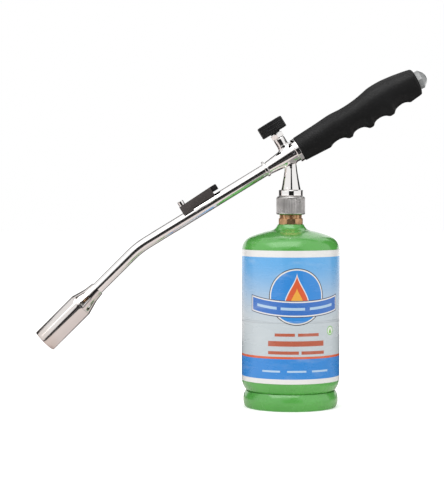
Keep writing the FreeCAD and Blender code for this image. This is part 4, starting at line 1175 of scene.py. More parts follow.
@dataclass
class Layout:
    """Heights, stations and axes that the assemblies share, in millimetres and degrees."""

    junction: float = 252.5
    pitch: float = 31.5
    bend: float = 13.3
    bend_station: float = -178.7
    bend_radius: float = 90.0
    far_length: float = 132.8
    tube_end: float = 66.0
    post_station: float = -2.2
    button_station: float = 146.0
    button_drop: float = 3.5
    button_tilt: float = 5.0

    def main(self) -> Matrix:
        """Frame of the torch's own axis."""
        return leaning((0.0, 0.0, self.junction), self.pitch)

    def post(self) -> Matrix:
        """Frame of the knob's post."""
        return self.main() @ Matrix.Translation((self.post_station, 0.0, 0.0))

    def far(self) -> Matrix:
        """Frame at the burner's mouth, X back along the burner.

        Returns:
            The frame, in millimetres.
        """
        turn = math.radians(self.bend)
        mouth = self.main() @ Vector(
            (
                self.bend_station - self.far_length * math.cos(turn), 0.0,
                -self.far_length * math.sin(turn)
            )
        )
        return leaning(tuple(mouth), self.pitch + self.bend)

    def button(self) -> Matrix:
        """Frame of the button's own axis."""
        start = self.main() @ Vector((self.button_station, 0.0, -self.button_drop))
        return leaning(tuple(start), self.pitch - self.button_tilt)


@dataclass
class Assembly:
    """Base of the sub-assemblies: places pieces and gives them their body and finish."""

    layout: Layout = field(default_factory=Layout)
    body: Bodies = Bodies.TORCH
    crease: float = 32.0
    merge: float = 0.002
    flat_angle: float = 0.6
    edge_angle: float = 40.0

    def place(
        self,
        piece: bpy.types.Object,
        finish: Finish,
        stands_for: Sequence[str],
        where: Matrix | None = None,
        body: Bodies | None = None,
    ) -> None:
        """Bring a piece from its own frame into the shared one and give it its finish and body.

        Args:
            piece: The object, in millimetres of its own frame.
            finish: Its finish.
            stands_for: CAD nodes that it replaces.
            where: Its frame; the floor's where left out.
            body: Body that it rides on; the assembly's where left out.
        """
        data = piece.data
        data.transform(Matrix.Scale(MM, 4) @ (where if where is not None else Matrix.Identity(4)))
        data.materials.clear()
        data.materials.append(finish.make())
        data.shade_smooth()
        data.set_sharp_from_angle(angle=math.radians(self.crease))
        data.update()
        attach(piece, (body or self.body).value)
        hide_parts(*stands_for)
        LOG.info(
            "%s: %d faces, stands for %s", piece.name, len(data.polygons), ", ".join(stands_for)
        )

    def turned(
        self,
        name: str,
        node: str,
        finish: Finish,
        outline: Sequence[Point],
        segments: int,
        where: Matrix | None = None,
        step: float = WHOLE_RUN,
    ) -> None:
        """Turn a piece from its outline and place it.

        Args:
            name: The piece's name.
            node: The CAD node that it replaces.
            finish: Its finish.
            outline: Radius, height and optional corner radius.
            segments: Faces round.
            where: Its frame; the floor's where left out.
            step: Longest run of the outline left undivided.
        """
        self.place(as_object(name, lathe(outline, segments, step)), finish, (node,), where)

    def refined(self, name: str, node: str, finish: Finish, width: float) -> None:
        """Copy of a CAD node with its edges softened.

        Args:
            name: The new piece's name.
            node: The node that is copied and replaced.
            finish: Its finish.
            width: Width of the soft edge in millimetres.
        """
        mesh = bmesh.new()
        mesh.from_mesh(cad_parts[node].data)
        bmesh.ops.transform(mesh, matrix=Matrix.Scale(1 / MM, 4), verts=mesh.verts)
        bmesh.ops.remove_doubles(mesh, verts=mesh.verts, dist=self.merge)
        bmesh.ops.dissolve_limit(
            mesh, angle_limit=math.radians(self.flat_angle), verts=mesh.verts, edges=mesh.edges
        )
        piece = as_object(name, mesh)
        bevel = piece.modifiers.new("soft_edge", "BEVEL")
        bevel.width = width
        bevel.segments = 3
        bevel.limit_method = "ANGLE"
        bevel.angle_limit = math.radians(self.edge_angle)
        bevel.harden_normals = False
        settled(piece)
        self.place(piece, finish, (node,))


@dataclass
class FuelCylinder(Assembly):
    """Green cylinder with its foot ring, printed wrap and brass valve."""

    body: Bodies = Bodies.CYLINDER
    radius: float = 48.6
    wall: float = 1.2
    upper: tuple[float, float, float] = (157.5, 20.7, 14.0)
    lower: tuple[float, float, float] = (28.0, 24.5, 16.0)
    neck_hole: float = 10.55
    clearance: float = 0.05

    def head(
        self, shape: tuple[float, float, float], way: int, inset: float, stop: float
    ) -> list[Point]:
        """Points of a dished head from its rim to a radius.

        Args:
            shape: Level of the rim, depth and knuckle radius.
            way: 1 for the top, -1 for the bottom.
            inset: How far inside the outer surface it lies.
            stop: Radius where it ends.

        Returns:
            Points of radius and height.
        """
        level, depth, knuckle = shape
        reach = self.radius - knuckle
        crown = (reach**2 + depth**2 - knuckle**2) / (2 * (depth - knuckle))
        tangent = math.acos(reach / (crown - knuckle))
        made = []
        for k in range(25):
            angle = tangent * k / 24
            made.append(
                (
                    reach + (knuckle - inset) * math.cos(angle),
                    level + way * (knuckle - inset) * math.sin(angle)
                )
            )
        end = math.acos(stop / (crown - inset))
        for k in range(1, 41):
            angle = tangent + (end - tangent) * k / 40
            made.append(
                (
                    max(0.0, (crown - inset) * math.cos(angle)) if k < 40 or stop > 0 else 0.0,
                    level + way * ((crown - inset) * math.sin(angle) - crown + depth),
                )
            )
        return made

    def shells(self) -> None:
        """Upper and lower drawn shells."""
        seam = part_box("upper_shell")[0].z / MM
        outside = self.head(self.upper, 1, 0.0, self.neck_hole)
        inside = self.head(self.upper, 1, self.wall, self.neck_hole)
        upper = [(self.radius, seam), *outside, *reversed(inside), (self.radius - self.wall, seam)]
        self.turned("shell_upper", "upper_shell", ENAMEL, upper, BODY_FACES)
        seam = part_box("lower_shell")[1].z / MM
        outside = self.head(self.lower, -1, 0.0, 0.0)
        inside = self.head(self.lower, -1, self.wall, 0.0)
        rim = [*reversed(outside), (self.radius, seam), (self.radius - self.wall, seam), *inside]
        self.turned("shell_lower", "lower_shell", ENAMEL, rim, BODY_FACES)

    def foot(self) -> None:
        """Rolled foot ring."""
        reach = self.radius - self.lower[2]
        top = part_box("foot_ring")[1].z / MM
        seat = reach + math.sqrt(self.lower[2] ** 2 - (self.lower[0] - top) ** 2) + self.clearance
        outer = through((seat + self.wall, top), (47.3, 8.5), (45.6, 0.6), 22)
        inner = through((43.68, 1.2), (46.1, 8.5), (seat, top), 22)
        outline = [
            (seat + self.wall, top, 0.3), *outer[1:-1], (45.6, 0.6, 0.5), (45.0, 0.0, 0.4),
            (42.2, 0.0, 0.5), (42.2, 1.2, 0.5), (43.68, 1.2, 0.3), *inner[1:-1], (seat, top, 0.3),
        ]
        self.turned("foot", "foot_ring", ENAMEL, outline, BODY_FACES)

    def wrap(self) -> None:
        """Printed wrap round the body."""
        low, high = heights(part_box("label_sleeve"))
        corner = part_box("label_sleeve")[1]
        outer = min(corner.x, corner.y) / MM - 0.001
        inner = self.radius + self.clearance
        outline = [(inner, low), (outer, low, 0.14), (outer, high, 0.14), (inner, high)]
        self.turned("wrap", "label_sleeve", PRINT, outline, 256, step=8.0)

    def boss(self) -> None:
        """Flared green boss under the valve."""
        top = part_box("neck_boss")[1].z / MM
        under = self.head(self.upper, 1, -self.clearance, self.neck_hole)
        under = [point for point in under if self.neck_hole <= point[0] < 19.0]
        head_top = self.upper[0] + self.upper[1]
        flare = through((19.0, head_top - 1.5), (15.2, head_top + 0.75), (13.4, top - 1.0), 14)
        outline = [
            *reversed(under), (19.0, head_top - 1.6), *flare, (12.9, top - 0.15), (12.4, top),
            (self.neck_hole, top),
        ]
        self.turned("boss", "neck_boss", ENAMEL, outline, 160)

    def valve(self) -> None:
        """Brass valve: collar with flats, notched neck and threaded outlet."""
        low, high = heights(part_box("tank_valve"))
        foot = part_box("neck_boss")[1].z / MM
        collar = foot + 5.9
        neck = collar + 3.5
        hole, socket, thread = 1.9, 5.2, 12.6
        outline = [
            (hole, high - 7.0), (socket, high - 7.0), (socket, high - 0.6),
            (socket + 0.6, high, 0.2),
            (thread - 0.8, high, 0.3), (thread, high - 0.8, 0.3), (thread, neck + 0.8, 0.3),
            (11.1, neck, 0.3),
            (11.1, collar, 0.4), (12.1, collar, 0.3), (thread, collar - 0.5, 0.3),
            (thread, foot + 0.5, 0.3),
            (12.2, foot + self.clearance), (10.5, foot + self.clearance), (10.5, low), (5.0, low),
            (5.0, high - 11.0), (hole, high - 11.0),
        ]

        def flats(angle: float, radius: float, height: float) -> float:
            """Eight shallow flats on the collar.

            Args:
                angle: Direction in radians.
                radius: Radius of the outline.
                height: Its height.

            Returns:
                The radius left by the flats.
            """
            if radius < 11.9 or height > collar + 0.1:
                return radius
            return min(radius, flat_reach(angle, 8, 11.95, math.pi / 8))

        piece = as_object("valve", lathe(outline, 176, 0.42, flats))
        lead = -1 / THREAD_PITCH
        Pattern(thread, neck + 0.2, high - 0.1, (1, 1), (lead, lead), 0.6, 0.3, 0.0, 1.0).cut(
            piece, BRASS
        )
        Pattern(11.1, collar + 0.1, neck + 0.1, (14, 14), (0, 0), 0.9, 0.3, 0.2, 0.45).cut(
            piece, BRASS
        )
        self.place(piece, BRASS, ("tank_valve",))

    def build(self) -> None:
        """Make every piece of the cylinder."""
        self.shells()
        self.foot()
        self.wrap()
        self.boss()
        self.valve()


@dataclass
class SwivelNut(Assembly):
    """Knurled nut that draws the torch down onto the cylinder's thread."""

    body: Bodies = Bodies.NUT
    radius: float = 14.35
    bore: float = 12.68
    neck: float = 9.08
    web: float = 5.0
    ridges: int = 60

    def build(self) -> None:
        """Make the nut."""
        low, high = heights(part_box("swivel_nut"))
        outline = [
            (self.bore, low + 0.6), (self.bore + 0.6, low, 0.2), (self.radius - 0.7, low, 0.3),
            (self.radius, low + 0.8, 0.3), (self.radius, high - 1.3, 0.3),
            (self.radius - 1.3, high, 0.3),
            (self.neck, high, 0.2), (self.neck, high - self.web), (self.bore, high - self.web),
        ]
        piece = as_object("nut", lathe(outline, self.ridges * 6, 0.7))
        Pattern(
            self.radius, low + 0.9, high - 1.5, (self.ridges, self.ridges), (0, 0), 0.35, 0.35, 0.05, 0.75
        ).cut(piece, NUT_GREY)
        self.place(piece, NUT_GREY, ("swivel_nut",))


@dataclass
class Spindle:
    """One turned part of the body casting, with the distance to its surface."""

    origin: Vector
    axis: Vector
    outline: Sequence[Point]
    side: Sequence[Point]

    def frame(self) -> Matrix:
        """Frame whose Z is the spindle's axis."""
        return Matrix.Translation(self.origin) @ self.axis.to_track_quat("Z", "Y").to_matrix().to_4x4(
            
        )

    def distance(self, point: Vector) -> float:
        """Distance from the side's surface, less than 0 inside.

        Args:
            point: A point in the torch's frame.

        Returns:
            The distance.
        """
        away = point - self.origin
        height = away.dot(self.axis)
        reach = (away - self.axis * height).length
        low, high = self.side[0][0], self.side[-1][0]
        for (h0, r0), (h1, r1) in zip(self.side, self.side[1:]):
            if height <= h1 or h1 == high:
                share = min(1.0, max(0.0, (height - h0) / (h1 - h0)))
                radius = r0 + (r1 - r0) * share
                slope = (r1 - r0) / (h1 - h0)
                break
        return max((reach - radius) / math.sqrt(1 + slope * slope), height - high, low - height)


@dataclass
class ValveBody(Assembly):
    """Plated body casting with the post, bonnet, gland nut and inlet collar."""

    fillet: float = 2.6

    def spindles(self) -> list[Spindle]:
        """The casting's three turned parts.

        Returns:
            Its own cone, the post and the upright inlet cone.
        """
        pitch = math.radians(self.layout.pitch)
        up = Vector((math.sin(pitch), 0.0, math.cos(pitch)))
        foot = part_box("inlet_collar")[1].z / MM - self.layout.junction
        rise = -5.0 - foot
        flare = [(k / 10 * rise, 5.3 + 4.7 * (1 - k / 10) ** 1.35) for k in range(11)]
        return [
            Spindle(
                Vector(), Vector((1.0, 0.0, 0.0)),
                [
                    (0.0, -37.0), (5.1, -37.0), (5.1, -27.0), (6.2, -27.0), (6.6, -26.6, 0.3),
                    (10.3, 5.6, 0.5),
                    (12.2, 5.6, 0.5), (12.2, 10.0, 0.5), (8.0, 10.0), (8.0, 24.0), (0.0, 24.0),
                ],
                [(-27.0, 6.55), (5.6, 10.3), (10.0, 10.8)],
            ),
            Spindle(
                Vector((self.layout.post_station, 0.0, 0.0)), Vector((0.0, 0.0, 1.0)),
                [(0.0, 1.0), (6.1, 1.0), (6.1, 12.0, 0.4), (0.0, 12.0)],
                [(1.0, 6.1), (12.0, 6.1)],
            ),
            Spindle(
                up * foot, up,
                [(0.0, 0.0), (9.6, 0.0), (10.0, 0.35), *((r, h) for h, r in flare[1:]), (
                    0.0, rise
                )],
                [(0.0, 10.0), *flare[1:]],
            ),
        ]

    def blended(self, index: int, spindles: Sequence[Spindle]) -> bmesh.types.BMesh:
        """One turned part whose skin swells into a fillet where it meets the others.

        Args:
            index: Which part.
            spindles: All of them.

        Returns:
            Its closed mesh.
        """
        own = spindles[index]
        others = [item for item in spindles if item is not own]
        mesh = lathe(own.outline, 168, 0.4)
        bmesh.ops.transform(mesh, matrix=own.frame(), verts=mesh.verts)
        mesh.normal_update()
        moves = []
        for vertex in mesh.verts:
            near = min(item.distance(vertex.co) for item in others)
            if not 0.0 <= near < self.fillet or own.distance(vertex.co) < -0.4:
                continue
            normal = vertex.normal.copy()

            def level(push: float) -> float:
                """Height over the blended surface, a little lower past the seam.

                Args:
                    push: How far the vertex is moved along its normal.

                Returns:
                    The height.
                """
                point = vertex.co + normal * push
                mine = own.distance(point)
                other = min(item.distance(point) for item in others)
                overlap = max(0.0, self.fillet - abs(mine - other)) / self.fillet
                sunk = 0.15 * min(1.0, max(0.0, (mine - other) / 0.8))
                return min(mine, other) - overlap * overlap * self.fillet / 4 + sunk

            low, high = 0.0, self.fillet * 1.3
            if level(low) >= 0.0 or level(high) <= 0.0:
                continue
            for _ in range(12):
                middle = (low + high) / 2
                low, high = (middle, high) if level(middle) < 0 else (low, middle)
            moves.append((vertex, vertex.co + normal * low))
        for vertex, target in moves:
            vertex.co = target
        return mesh

    def casting(self) -> None:
        """Body casting: the three parts joined, then bored."""
        spindles = self.spindles()
        pieces = [
            as_object(f"casting_{index}", self.blended(index, spindles)) for index in range(3)
        ]
        upright = spindles[2].frame()
        post = spindles[1].frame()
        across = Matrix.Translation((2.7, 0.0, 0.0)) @ Matrix.Rotation(math.pi / 2, 4, "X")
        inlet_bore = [
            (0.0, -1.0), (6.05, -1.0), (6.05, 5.0), (4.05, 5.0), (4.05, 7.7), (1.6, 7.7),
            (1.6, 34.0), (0.0, 34.0),
        ]
        post_bore = [
            (0.0, 1.0), (1.65, 1.0), (1.65, 2.6), (3.0, 2.6), (3.0, 6.0), (4.05, 6.0),
            (4.05, 13.0), (0.0, 13.0),
        ]
        screw_hole = [(0.0, 6.0), (1.55, 6.0), (1.55, 13.0), (0.0, 13.0)]
        cutters = [(upright, inlet_bore), (post, post_bore), (across, screw_hole)]
        tools = []
        for index, (where, outline) in enumerate(cutters):
            tool = as_object(f"casting_tool_{index}", lathe(outline, 64))
            tool.data.transform(where)
            tools.append(tool)
        body = pieces[0]
        for operation, items in (("UNION", pieces[1:]), ("DIFFERENCE", tools)):
            for item in items:
                step = body.modifiers.new(item.name, "BOOLEAN")
                step.operation = operation
                step.solver = "EXACT"
                step.object = item
        settled(body)
        for item in [*pieces[1:], *tools]:
            data = item.data
            bpy.data.objects.remove(item)
            bpy.data.meshes.remove(data)
        body.name = "body_casting"
        self.place(body, CHROME, ("valve_body",), self.layout.main())

    def build(self) -> None:
        """Make the casting and what is screwed into it."""
        self.casting()
        low, high = heights(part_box("inlet_collar"))
        collar = [
            (6.05, low), (11.8, low, 0.2), (12.5, low + 0.8, 0.4), (12.5, high - 0.8, 0.4),
            (11.7, high, 0.3),
            (6.05, high),
        ]
        self.turned("collar", "inlet_collar", CHROME, collar, 144)
        bonnet = [
            (2.08, 6.05), (4.0, 6.05), (4.0, 12.05), (5.8, 12.05, 0.3), (5.8, 19.2, 0.3),
            (5.3, 20.4, 0.3),
            (2.08, 20.4),
        ]
        self.turned("bonnet", "valve_bonnet", CHROME, bonnet, 96, self.layout.post())
        self.gland()
        ring = [(6.2, -30.4), (7.5, -30.4, 0.7), (7.5, -27.05, 0.7), (6.2, -27.05)]
        self.turned("tube_bead", "tube_ring", CHROME, ring, 96, self.layout.main() @ TO_X)

    def gland(self) -> None:
        """Hexagonal gland nut with turned chamfers."""
        half = 6.2
        outline = [
            (2.08, 20.45), (6.5, 20.45), (7.05, 20.85), (7.15, 21.2), (7.15, 24.2), (7.05, 24.55),
            (6.2, 25.0, 0.2), (2.08, 25.0),
        ]

        def hexagon(angle: float, radius: float, _height: float) -> float:
            """Radius held to a hexagon's flats."""
            return min(radius, flat_reach(angle, 6, half, math.pi / 6))

        piece = as_object("gland", lathe(outline, 180, 0.5, hexagon))
        self.place(piece, CHROME, ("gland_nut",), self.layout.post())


@dataclass
class ControlKnob(Assembly):
    """Black knob with a square-cut grip band."""

    body: Bodies = Bodies.KNOB
    radius: float = 13.75
    low: float = 26.7
    high: float = 38.6
    ridges: int = 44

    def build(self) -> None:
        """Make the knob."""
        rim = self.radius
        outline = [
            (2.05, self.low - 1.2), (5.0, self.low - 1.2, 0.4), (5.0, self.low + 4.0),
            (rim - 2.4, self.low + 4.0),
            (rim - 2.4, self.low, 0.4), (rim - 0.7, self.low, 0.3), (rim, self.low + 0.7, 0.3),
            (rim, self.high - 0.9, 0.4), (rim - 0.9, self.high, 0.4), (10.6, self.high, 0.3),
            (10.2, self.high - 0.4, 0.2), (4.4, self.high - 0.4, 0.3), (3.6, self.high - 0.4, 0.2),
            (3.6, 36.05), (2.05, 36.05),
        ]
        piece = as_object("knob", lathe(outline, self.ridges * 8, 0.3))
        Pattern(
            rim, self.low + 0.5, self.high - 0.6, (self.ridges, 0.0), (0.0, 1 / 1.9), 0.42, 0.3, 0.08, 0.42
        ).cut(piece, KNOB_BLACK)
        self.place(piece, KNOB_BLACK, ("control_knob",), self.layout.post())


@dataclass
class NeckAndBurner(Assembly):
    """Bent neck tube, burner barrel and the rest on the tube."""

    outer: float = 6.15
    wall: float = 1.0
    mouth: float = 12.4

    def neck(self) -> None:
        """Bent tube from the body to the burner."""
        turn = math.radians(self.layout.bend)
        setback = self.layout.bend_radius * math.tan(turn / 2)
        first = self.layout.bend_station + setback
        leg = self.layout.far_length - self.layout.tube_end
        stations: list[tuple[float, float, float]] = []
        for k in range(16):
            stations.append((-27.05 + (first + 27.05) * k / 16, 0.0, 0.0))
        for k in range(33):
            angle = turn * k / 32
            stations.append(
                (
                    first - self.layout.bend_radius * math.sin(angle),
                    -self.layout.bend_radius * (1 - math.cos(angle)),
                    angle,
                )
            )
        for k in range(1, 9):
            reach = setback + (leg - setback) * k / 8
            stations.append(
                (self.layout.bend_station - reach * math.cos(turn), -reach * math.sin(turn), turn)
            )
        rings = []
        for radius, row in ((self.outer, stations), (self.outer - self.wall, stations[::-1])):
            for station, rise, angle in row:
                side = Vector((-math.sin(angle), 0.0, math.cos(angle)))
                rings.append(
                    [
                        Vector((station, 0.0, rise))
                        + side * radius * math.cos(math.tau * k / 96)
                        + Vector((0.0, radius * math.sin(math.tau * k / 96), 0.0))
                        for k in range(96)
                    ]
                )
        self.place(as_object("neck", skin(rings, True)), CHROME, ("neck_tube",), self.layout.main())

    def barrel(self) -> None:
        """Burner barrel with its bored-out mouth."""
        outline = [
            (11.7, 0.1, 0.25), (self.mouth, 0.1, 0.5), (self.mouth, 51.2, 0.25), (11.3, 51.2, 0.2),
            (11.3, 24.0),
            (11.7, 24.0),
        ]
        self.turned("barrel", "burner_barrel", BURNER, outline, 160, self.layout.far() @ TO_X, 3.0)
        self.refined("throat", "burner_cone", BURNER, 0.22)

    def rest(self) -> None:
        """Saddle, block and pad on top of the tube."""
        self.refined("saddle", "rest_saddle", CHROME, 0.2)
        self.refined("block", "rest_block", BLOCK_BLACK, 0.45)
        self.refined("pad", "rest_pad", KNOB_BLACK, 0.5)

    def build(self) -> None:
        """Make the tube, the barrel and the rest."""
        self.neck()
        self.barrel()
        self.rest()


@dataclass
class Handle(Assembly):
    """Moulded grip with finger grooves and the faceted igniter button."""

    front: float = 10.08
    rear: float = 144.4
    rear_edge: float = 2.1
    rear_share: float = 0.62
    fullness: float = 0.93
    flank_pinch: float = 0.05
    deepest_bite: float = 4.5
    skirt_top: float = -0.55
    button_soft: float = 0.997
    button_crease: float = 14.0
    count: int = 120
    top: Sequence[Point] = (
        (10, 12.65), (24, 13.0), (36, 13.3), (46, 13.8), (52, 14.0), (57, 13.7), (65, 13.0),
        (73, 13.0), (80, 13.4),
        (86, 14.1), (92, 15.1), (98, 16.2), (103, 16.5), (108, 16.45), (114, 16.1), (120, 15.3),
        (126, 14.4),
        (132, 13.1), (136, 12.2), (140, 11.2), (144, 10.2), (150, 9.4),
    )
    ridge: Sequence[Point] = (
        (10, 13.0), (38, 15.1), (60, 17.3), (72, 18.4), (83, 19.4), (95, 19.8), (107, 19.75),
        (118, 19.2),
        (130, 18.3), (141, 17.5), (150, 17.2),
    )
    floor: Sequence[Point] = (
        (10, 13.0), (24, 14.0), (37.6, 15.0), (39.5, 14.3), (41.5, 13.4), (45, 12.75), (48, 12.6),
        (52, 13.1),
        (55, 14.3), (57.2, 16.2), (58.8, 17.15), (60.5, 17.3), (62.3, 17.1), (63.8, 15.8),
        (65.6, 14.6), (68, 14.0),
        (70.5, 13.9), (74, 14.3), (77, 15.4), (79.4, 17.4), (81, 19.0), (83.3, 19.4), (85.6, 19.2),
        (87.2, 17.7),
        (89, 16.5), (92, 15.7), (95.5, 15.5), (99, 16.1), (102, 17.5), (103.8, 19.0),
        (105.6, 19.7), (107.5, 19.75),
        (109.6, 19.4), (111.2, 17.9), (113, 16.6), (116, 15.7), (120.5, 15.2), (124, 15.6),
        (126.8, 16.8),
        (128.6, 17.9), (130.5, 18.3), (136, 17.9), (141, 17.5), (150, 17.2),
    )
    half: Sequence[Point] = (
        (10, 12.65), (34, 12.9), (56, 13.2), (72, 13.3), (86, 13.6), (104, 13.9), (120, 13.5),
        (134, 12.9), (150, 12.2),
    )

    def section(self, station: float, shrink: float = 0.0) -> list[Vector]:
        """One ring of the grip's outside.

        Args:
            station: Place along the torch's axis.
            shrink: How far the ring is drawn in.

        Returns:
            Points of the ring.
        """
        top, ridge, floor, half = (
            smoothed(item) for item in (self.top, self.ridge, self.floor, self.half)
        )
        high, low, wide = top(station), ridge(station), half(station)
        bite = max(0.0, low - floor(station))
        ring = []
        for k in range(self.count):
            angle = math.tau * k / self.count
            side, up = math.sin(angle), math.cos(angle)
            across = math.copysign(abs(side) ** self.fullness, side) * wide
            rise = math.copysign(abs(up) ** self.fullness, up) * (high if up > 0 else low)
            if up < 0:
                rise += bite * ease(-up, 0.25, 0.86)
                pinch = self.flank_pinch * (bite / self.deepest_bite)
                across *= 1 - pinch * ease(-up, 0.0, 0.7) * ease(abs(side), 0.0, 0.6)
            scale = 1 - shrink / math.hypot(across, rise)
            lean = 0.0876 * (rise * scale + 3.5) * ease(station, 124.0, 143.5)
            ring.append(Vector((station + lean, across * scale, rise * scale)))
        return ring

    def bore(self, u: float, radius: float, on_button: bool) -> list[Vector]:
        """One ring of the grip's inside.

        Args:
            u: Place along the bore's axis.
            radius: The bore's radius.
            on_button: Whether it follows the button's axis instead of the torch's.

        Returns:
            Points of the ring, in the torch's frame.
        """
        tilt = math.radians(self.layout.button_tilt) if on_button else 0.0
        start = Vector((self.layout.button_station, 0.0, -self.layout.button_drop)) if on_button else Vector(
            
        )
        along = Vector((math.cos(tilt), 0.0, -math.sin(tilt)))
        up = Vector((math.sin(tilt), 0.0, math.cos(tilt)))
        return [
            start
            + along * u
            + Vector((0.0, radius * math.sin(math.tau * k / self.count), 0.0))
            + up * radius * math.cos(math.tau * k / self.count)
            for k in range(self.count)
        ]

    def grip(self) -> None:
        """Hollow moulded grip."""
        edge = 0.7
        rings = [self.bore(self.front, 9.65, False)]
        for k in range(5):
            angle = math.pi / 2 * k / 4
            rings.append(self.section(
                self.front + edge * (1 - math.cos(angle)), edge * (1 - math.sin(angle))
            ))
        steps = 260
        last = self.rear - self.rear_edge
        first = self.front + edge
        rings += [self.section(first + (last - first) * k / steps) for k in range(1, steps + 1)]
        for k in range(1, 7):
            angle = math.pi / 2 * k / 6
            shrink = self.rear_edge * (1 - math.cos(angle)) * self.rear_share
            rings.append(self.section(last + self.rear_edge * math.sin(angle), shrink))
        rings.append(self.bore(-1.0, 11.25, True))
        rings += [
            self.bore(-1.4, 10.85, True), self.bore(-21.5, 10.85, True),
            self.bore(-21.5, 6.85, True)
        ]
        rings += [self.bore(-52.0, 6.85, True), self.bore(93.05, 9.65, False)]
        piece = as_object("grip", skin(rings, True))
        self.place(piece, GRIP_BLACK, ("handle_grip",), self.layout.main())

    def button(self) -> None:
        """Eight-sided button head on a round skirt."""
        sides = 8

        def octagon(angle: float, radius: float, height: float) -> float:
            """Radius held to an octagon's flats above the skirt.

            Args:
                angle: Direction in radians.
                radius: Radius of the outline.
                height: Its height.

            Returns:
                The radius left by the flats.
            """
            if height < self.skirt_top:
                return radius
            return min(
                radius * self.button_soft,
                flat_reach(angle, sides, radius * math.cos(math.pi / sides))
            )

        outline = [
            (0.0, -3.0), (7.8, -3.0), (7.8, -14.0), (9.65, -14.0), (9.65, -12.6), (9.32, -12.6),
            (9.32, -0.65, 0.1),
            (9.2, -0.5), (9.4, 3.7, 0.3), (5.2, 7.8, 0.3), (2.6, 9.0, 0.2), (0.0, 9.0),
        ]
        piece = as_object("button", lathe(outline, 160, 1.0, octagon))
        self.crease = self.button_crease
        self.place(
            piece, BUTTON_GREY, ("igniter_button",), self.layout.button() @ TO_X, Bodies.BUTTON
        )

    def build(self) -> None:
        """Make the grip and the button."""
        self.grip()
        self.button()


# ------------------------------------------------------------------ CAD nodes that stay


def dress_nodes() -> None:
    """Give every CAD node the finish of its material slot."""
    by_slot = {finish.slot: finish for finish in FINISHES}
    for name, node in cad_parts.items():
        for holder in node.material_slots:
            finish = by_slot[holder.material.name.split(".")[0]]
            holder.link = "OBJECT"
            holder.material = finish.make()
        LOG.info("dressed %s", name)


# ------------------------------------------------------------------ studio


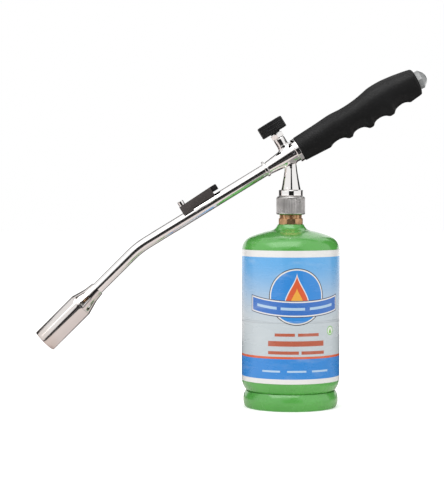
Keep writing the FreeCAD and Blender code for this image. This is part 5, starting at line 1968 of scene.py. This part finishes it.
@dataclass
class Studio:
    """Pale floor, soft lights, dark cards for the plating to mirror, and the camera."""

    eye: Point = (-0.0687, -1.66, 0.223)
    tilt: float = 2.28
    lens: float = 119.5
    sensor: float = 36.0
    black: Colour = (0.004, 0.0035, 0.0035)
    warm: Colour = (0.60, 0.545, 0.525)
    grey: Colour = (0.24, 0.23, 0.225)
    floor: Colour = (0.93, 0.93, 0.93)
    floor_glow: float = 0.22
    high_glow: float = 1.9
    lamps: Sequence[tuple[str, Point, float, float, float]] = (
        ("key", (-1.1, -1.3, 1.5), 0.15, 0.9, 14.0),
        ("fill", (1.6, -0.9, 0.9), 0.15, 1.2, 4.0),
        ("top", (0.0, 0.3, 1.9), 0.1, 1.4, 12.0),
    )
    flags: dict[str, Sequence[Point]] = field(
        default_factory=lambda: {
            "flag_front": [
                (-0.8, -2.3, 0.0), (1.15, -2.3, 0.0), (1.15, -2.3, 0.9), (-0.95, -2.3, 0.9)
            ],
            "flag_front_tall": [
                (-0.12, -2.3, 0.9), (0.72, -2.3, 0.9), (0.72, -2.3, 2.0), (-0.12, -2.3, 2.0)
            ],
            "flag_front_low": [
                (-0.8, -2.3, 0.002), (1.0, -2.3, 0.002), (1.0, -0.28, 0.002), (-0.8, -0.4, 0.002)
            ],
            "flag_back_high": [
                (-2.6, 2.3, 0.85), (0.3, 2.3, 0.85), (0.3, 2.3, 1.9), (-2.6, 2.3, 3.2)
            ],
            "flag_back_right": [
                (0.6, 2.3, 0.35), (1.9, 2.3, 0.35), (1.9, 2.3, 1.7), (0.6, 2.3, 1.7)
            ],
            "flag_back_low": [
                (-0.7, 0.05, 0.002), (0.9, 0.2, 0.002), (0.9, 0.9, 0.002), (-0.7, 0.6, 0.002)
            ],
            "flag_left": [(-2.0, 0.45, 0.0), (-2.0, 2.4, 0.0), (-2.0, 2.4, 1.4), (-2.0, 0.45, 1.4)],
            "flag_right": [(2.0, 0.6, 0.0), (2.0, 2.4, 0.0), (2.0, 2.4, 2.4), (2.0, 0.6, 2.4)],
        }
    )

    @staticmethod
    def level_card(
        left: float, right: float, near: float, far: float, height: float
    ) -> list[Point]:
        """Corners of a level rectangle, in metres."""
        return [
            (left, near, height), (right, near, height), (right, far, height), (left, far, height)
        ]

    def card(
        self, name: str, corners: Sequence[Point], colour: Colour, glow: float = 0.0
    ) -> bpy.types.Object:
        """Flat card of the studio.

        Args:
            name: Its name.
            corners: Its corners in metres.
            colour: Its colour.
            glow: Light that it gives off.

        Returns:
            The card.
        """
        mesh = bmesh.new()
        mesh.faces.new([mesh.verts.new(corner) for corner in corners])
        card = as_object(name, mesh)
        graph = Graph(name + "_paper")
        tone = graph.mix(graph.noise(6.0), colour, tuple(c * 0.97 for c in colour))
        paper = graph.dress(
            Base_Color=tone, Roughness=0.9, Emission_Color=tone, Emission_Strength=glow
        )
        card.data.materials.append(paper)
        return card

    def lamp(self, name: str, place: Point, aim: Point, size: float, power: float) -> None:
        """Square soft light.

        Args:
            name: Its name.
            place: Where it hangs.
            aim: What it points at.
            size: Its side.
            power: Its power in watts.
        """
        data = bpy.data.lights.new(name, "AREA")
        data.shape = "SQUARE"
        data.size = size
        data.energy = power
        lamp = bpy.data.objects.new(name, data)
        lamp.location = place
        lamp.rotation_euler = (Vector(aim) - Vector(place)).to_track_quat("-Z", "Y").to_euler()
        lamp.visible_glossy = False
        bpy.context.scene.collection.objects.link(lamp)

    def build(self) -> None:
        """Set up floor, cards, lights, world and camera."""
        self.card("floor", self.level_card(-6.0, 6.0, -6.0, 6.0, 0.0), self.floor, self.floor_glow)
        high = [(-2.2, -1.9, 1.45), (0.6, -1.9, 1.45), (0.6, -0.3, 2.3), (-2.2, -0.3, 2.3)]
        cards = [(name, corners, self.black, 0.0) for name, corners in self.flags.items()]
        cards += [
            ("warm_low", self.level_card(-2.2, 2.2, -2.3, 2.3, 0.001), self.warm, 0.0),
            ("grey_low", self.level_card(0.09, 0.9, -0.28, 0.12, 0.003), self.grey, 0.0),
            ("bright_high", high, WHITE, self.high_glow),
        ]
        for name, corners, tone, glow in cards:
            flag = self.card(name, corners, tone, glow)
            flag.visible_camera = False
            flag.visible_diffuse = False
            flag.visible_shadow = False
        for name, place, aim, size, power in self.lamps:
            self.lamp(name, place, (0.0, 0.0, aim), size, power)
        world = bpy.data.worlds.new("studio_air")
        world.use_nodes = True
        sky = world.node_tree.nodes["Background"]
        sky.inputs["Color"].default_value = (*WHITE, 1.0)
        sky.inputs["Strength"].default_value = 1.0
        bpy.context.scene.world = world
        bpy.context.scene.view_settings.view_transform = "Standard"
        data = bpy.data.cameras.new("camera")
        data.lens = self.lens
        data.sensor_width = self.sensor
        data.clip_start = 0.05
        camera = bpy.data.objects.new("camera", data)
        camera.location = self.eye
        camera.rotation_euler = (math.radians(90.0 - self.tilt), 0.0, 0.0)
        bpy.context.scene.collection.objects.link(camera)
        bpy.context.scene.camera = camera


def main() -> None:
    """Build every assembly in order."""
    logging.basicConfig(level=logging.INFO, format="%(name)s: %(message)s")
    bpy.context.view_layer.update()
    Studio().build()
    dress_nodes()
    for assembly in (
        FuelCylinder(), SwivelNut(), ValveBody(), ControlKnob(), NeckAndBurner(), Handle()
    ):
        assembly.build()
        LOG.info("%s done", type(assembly).__name__)
    bpy.context.view_layer.update()


if __name__ == "__main__":
    main()
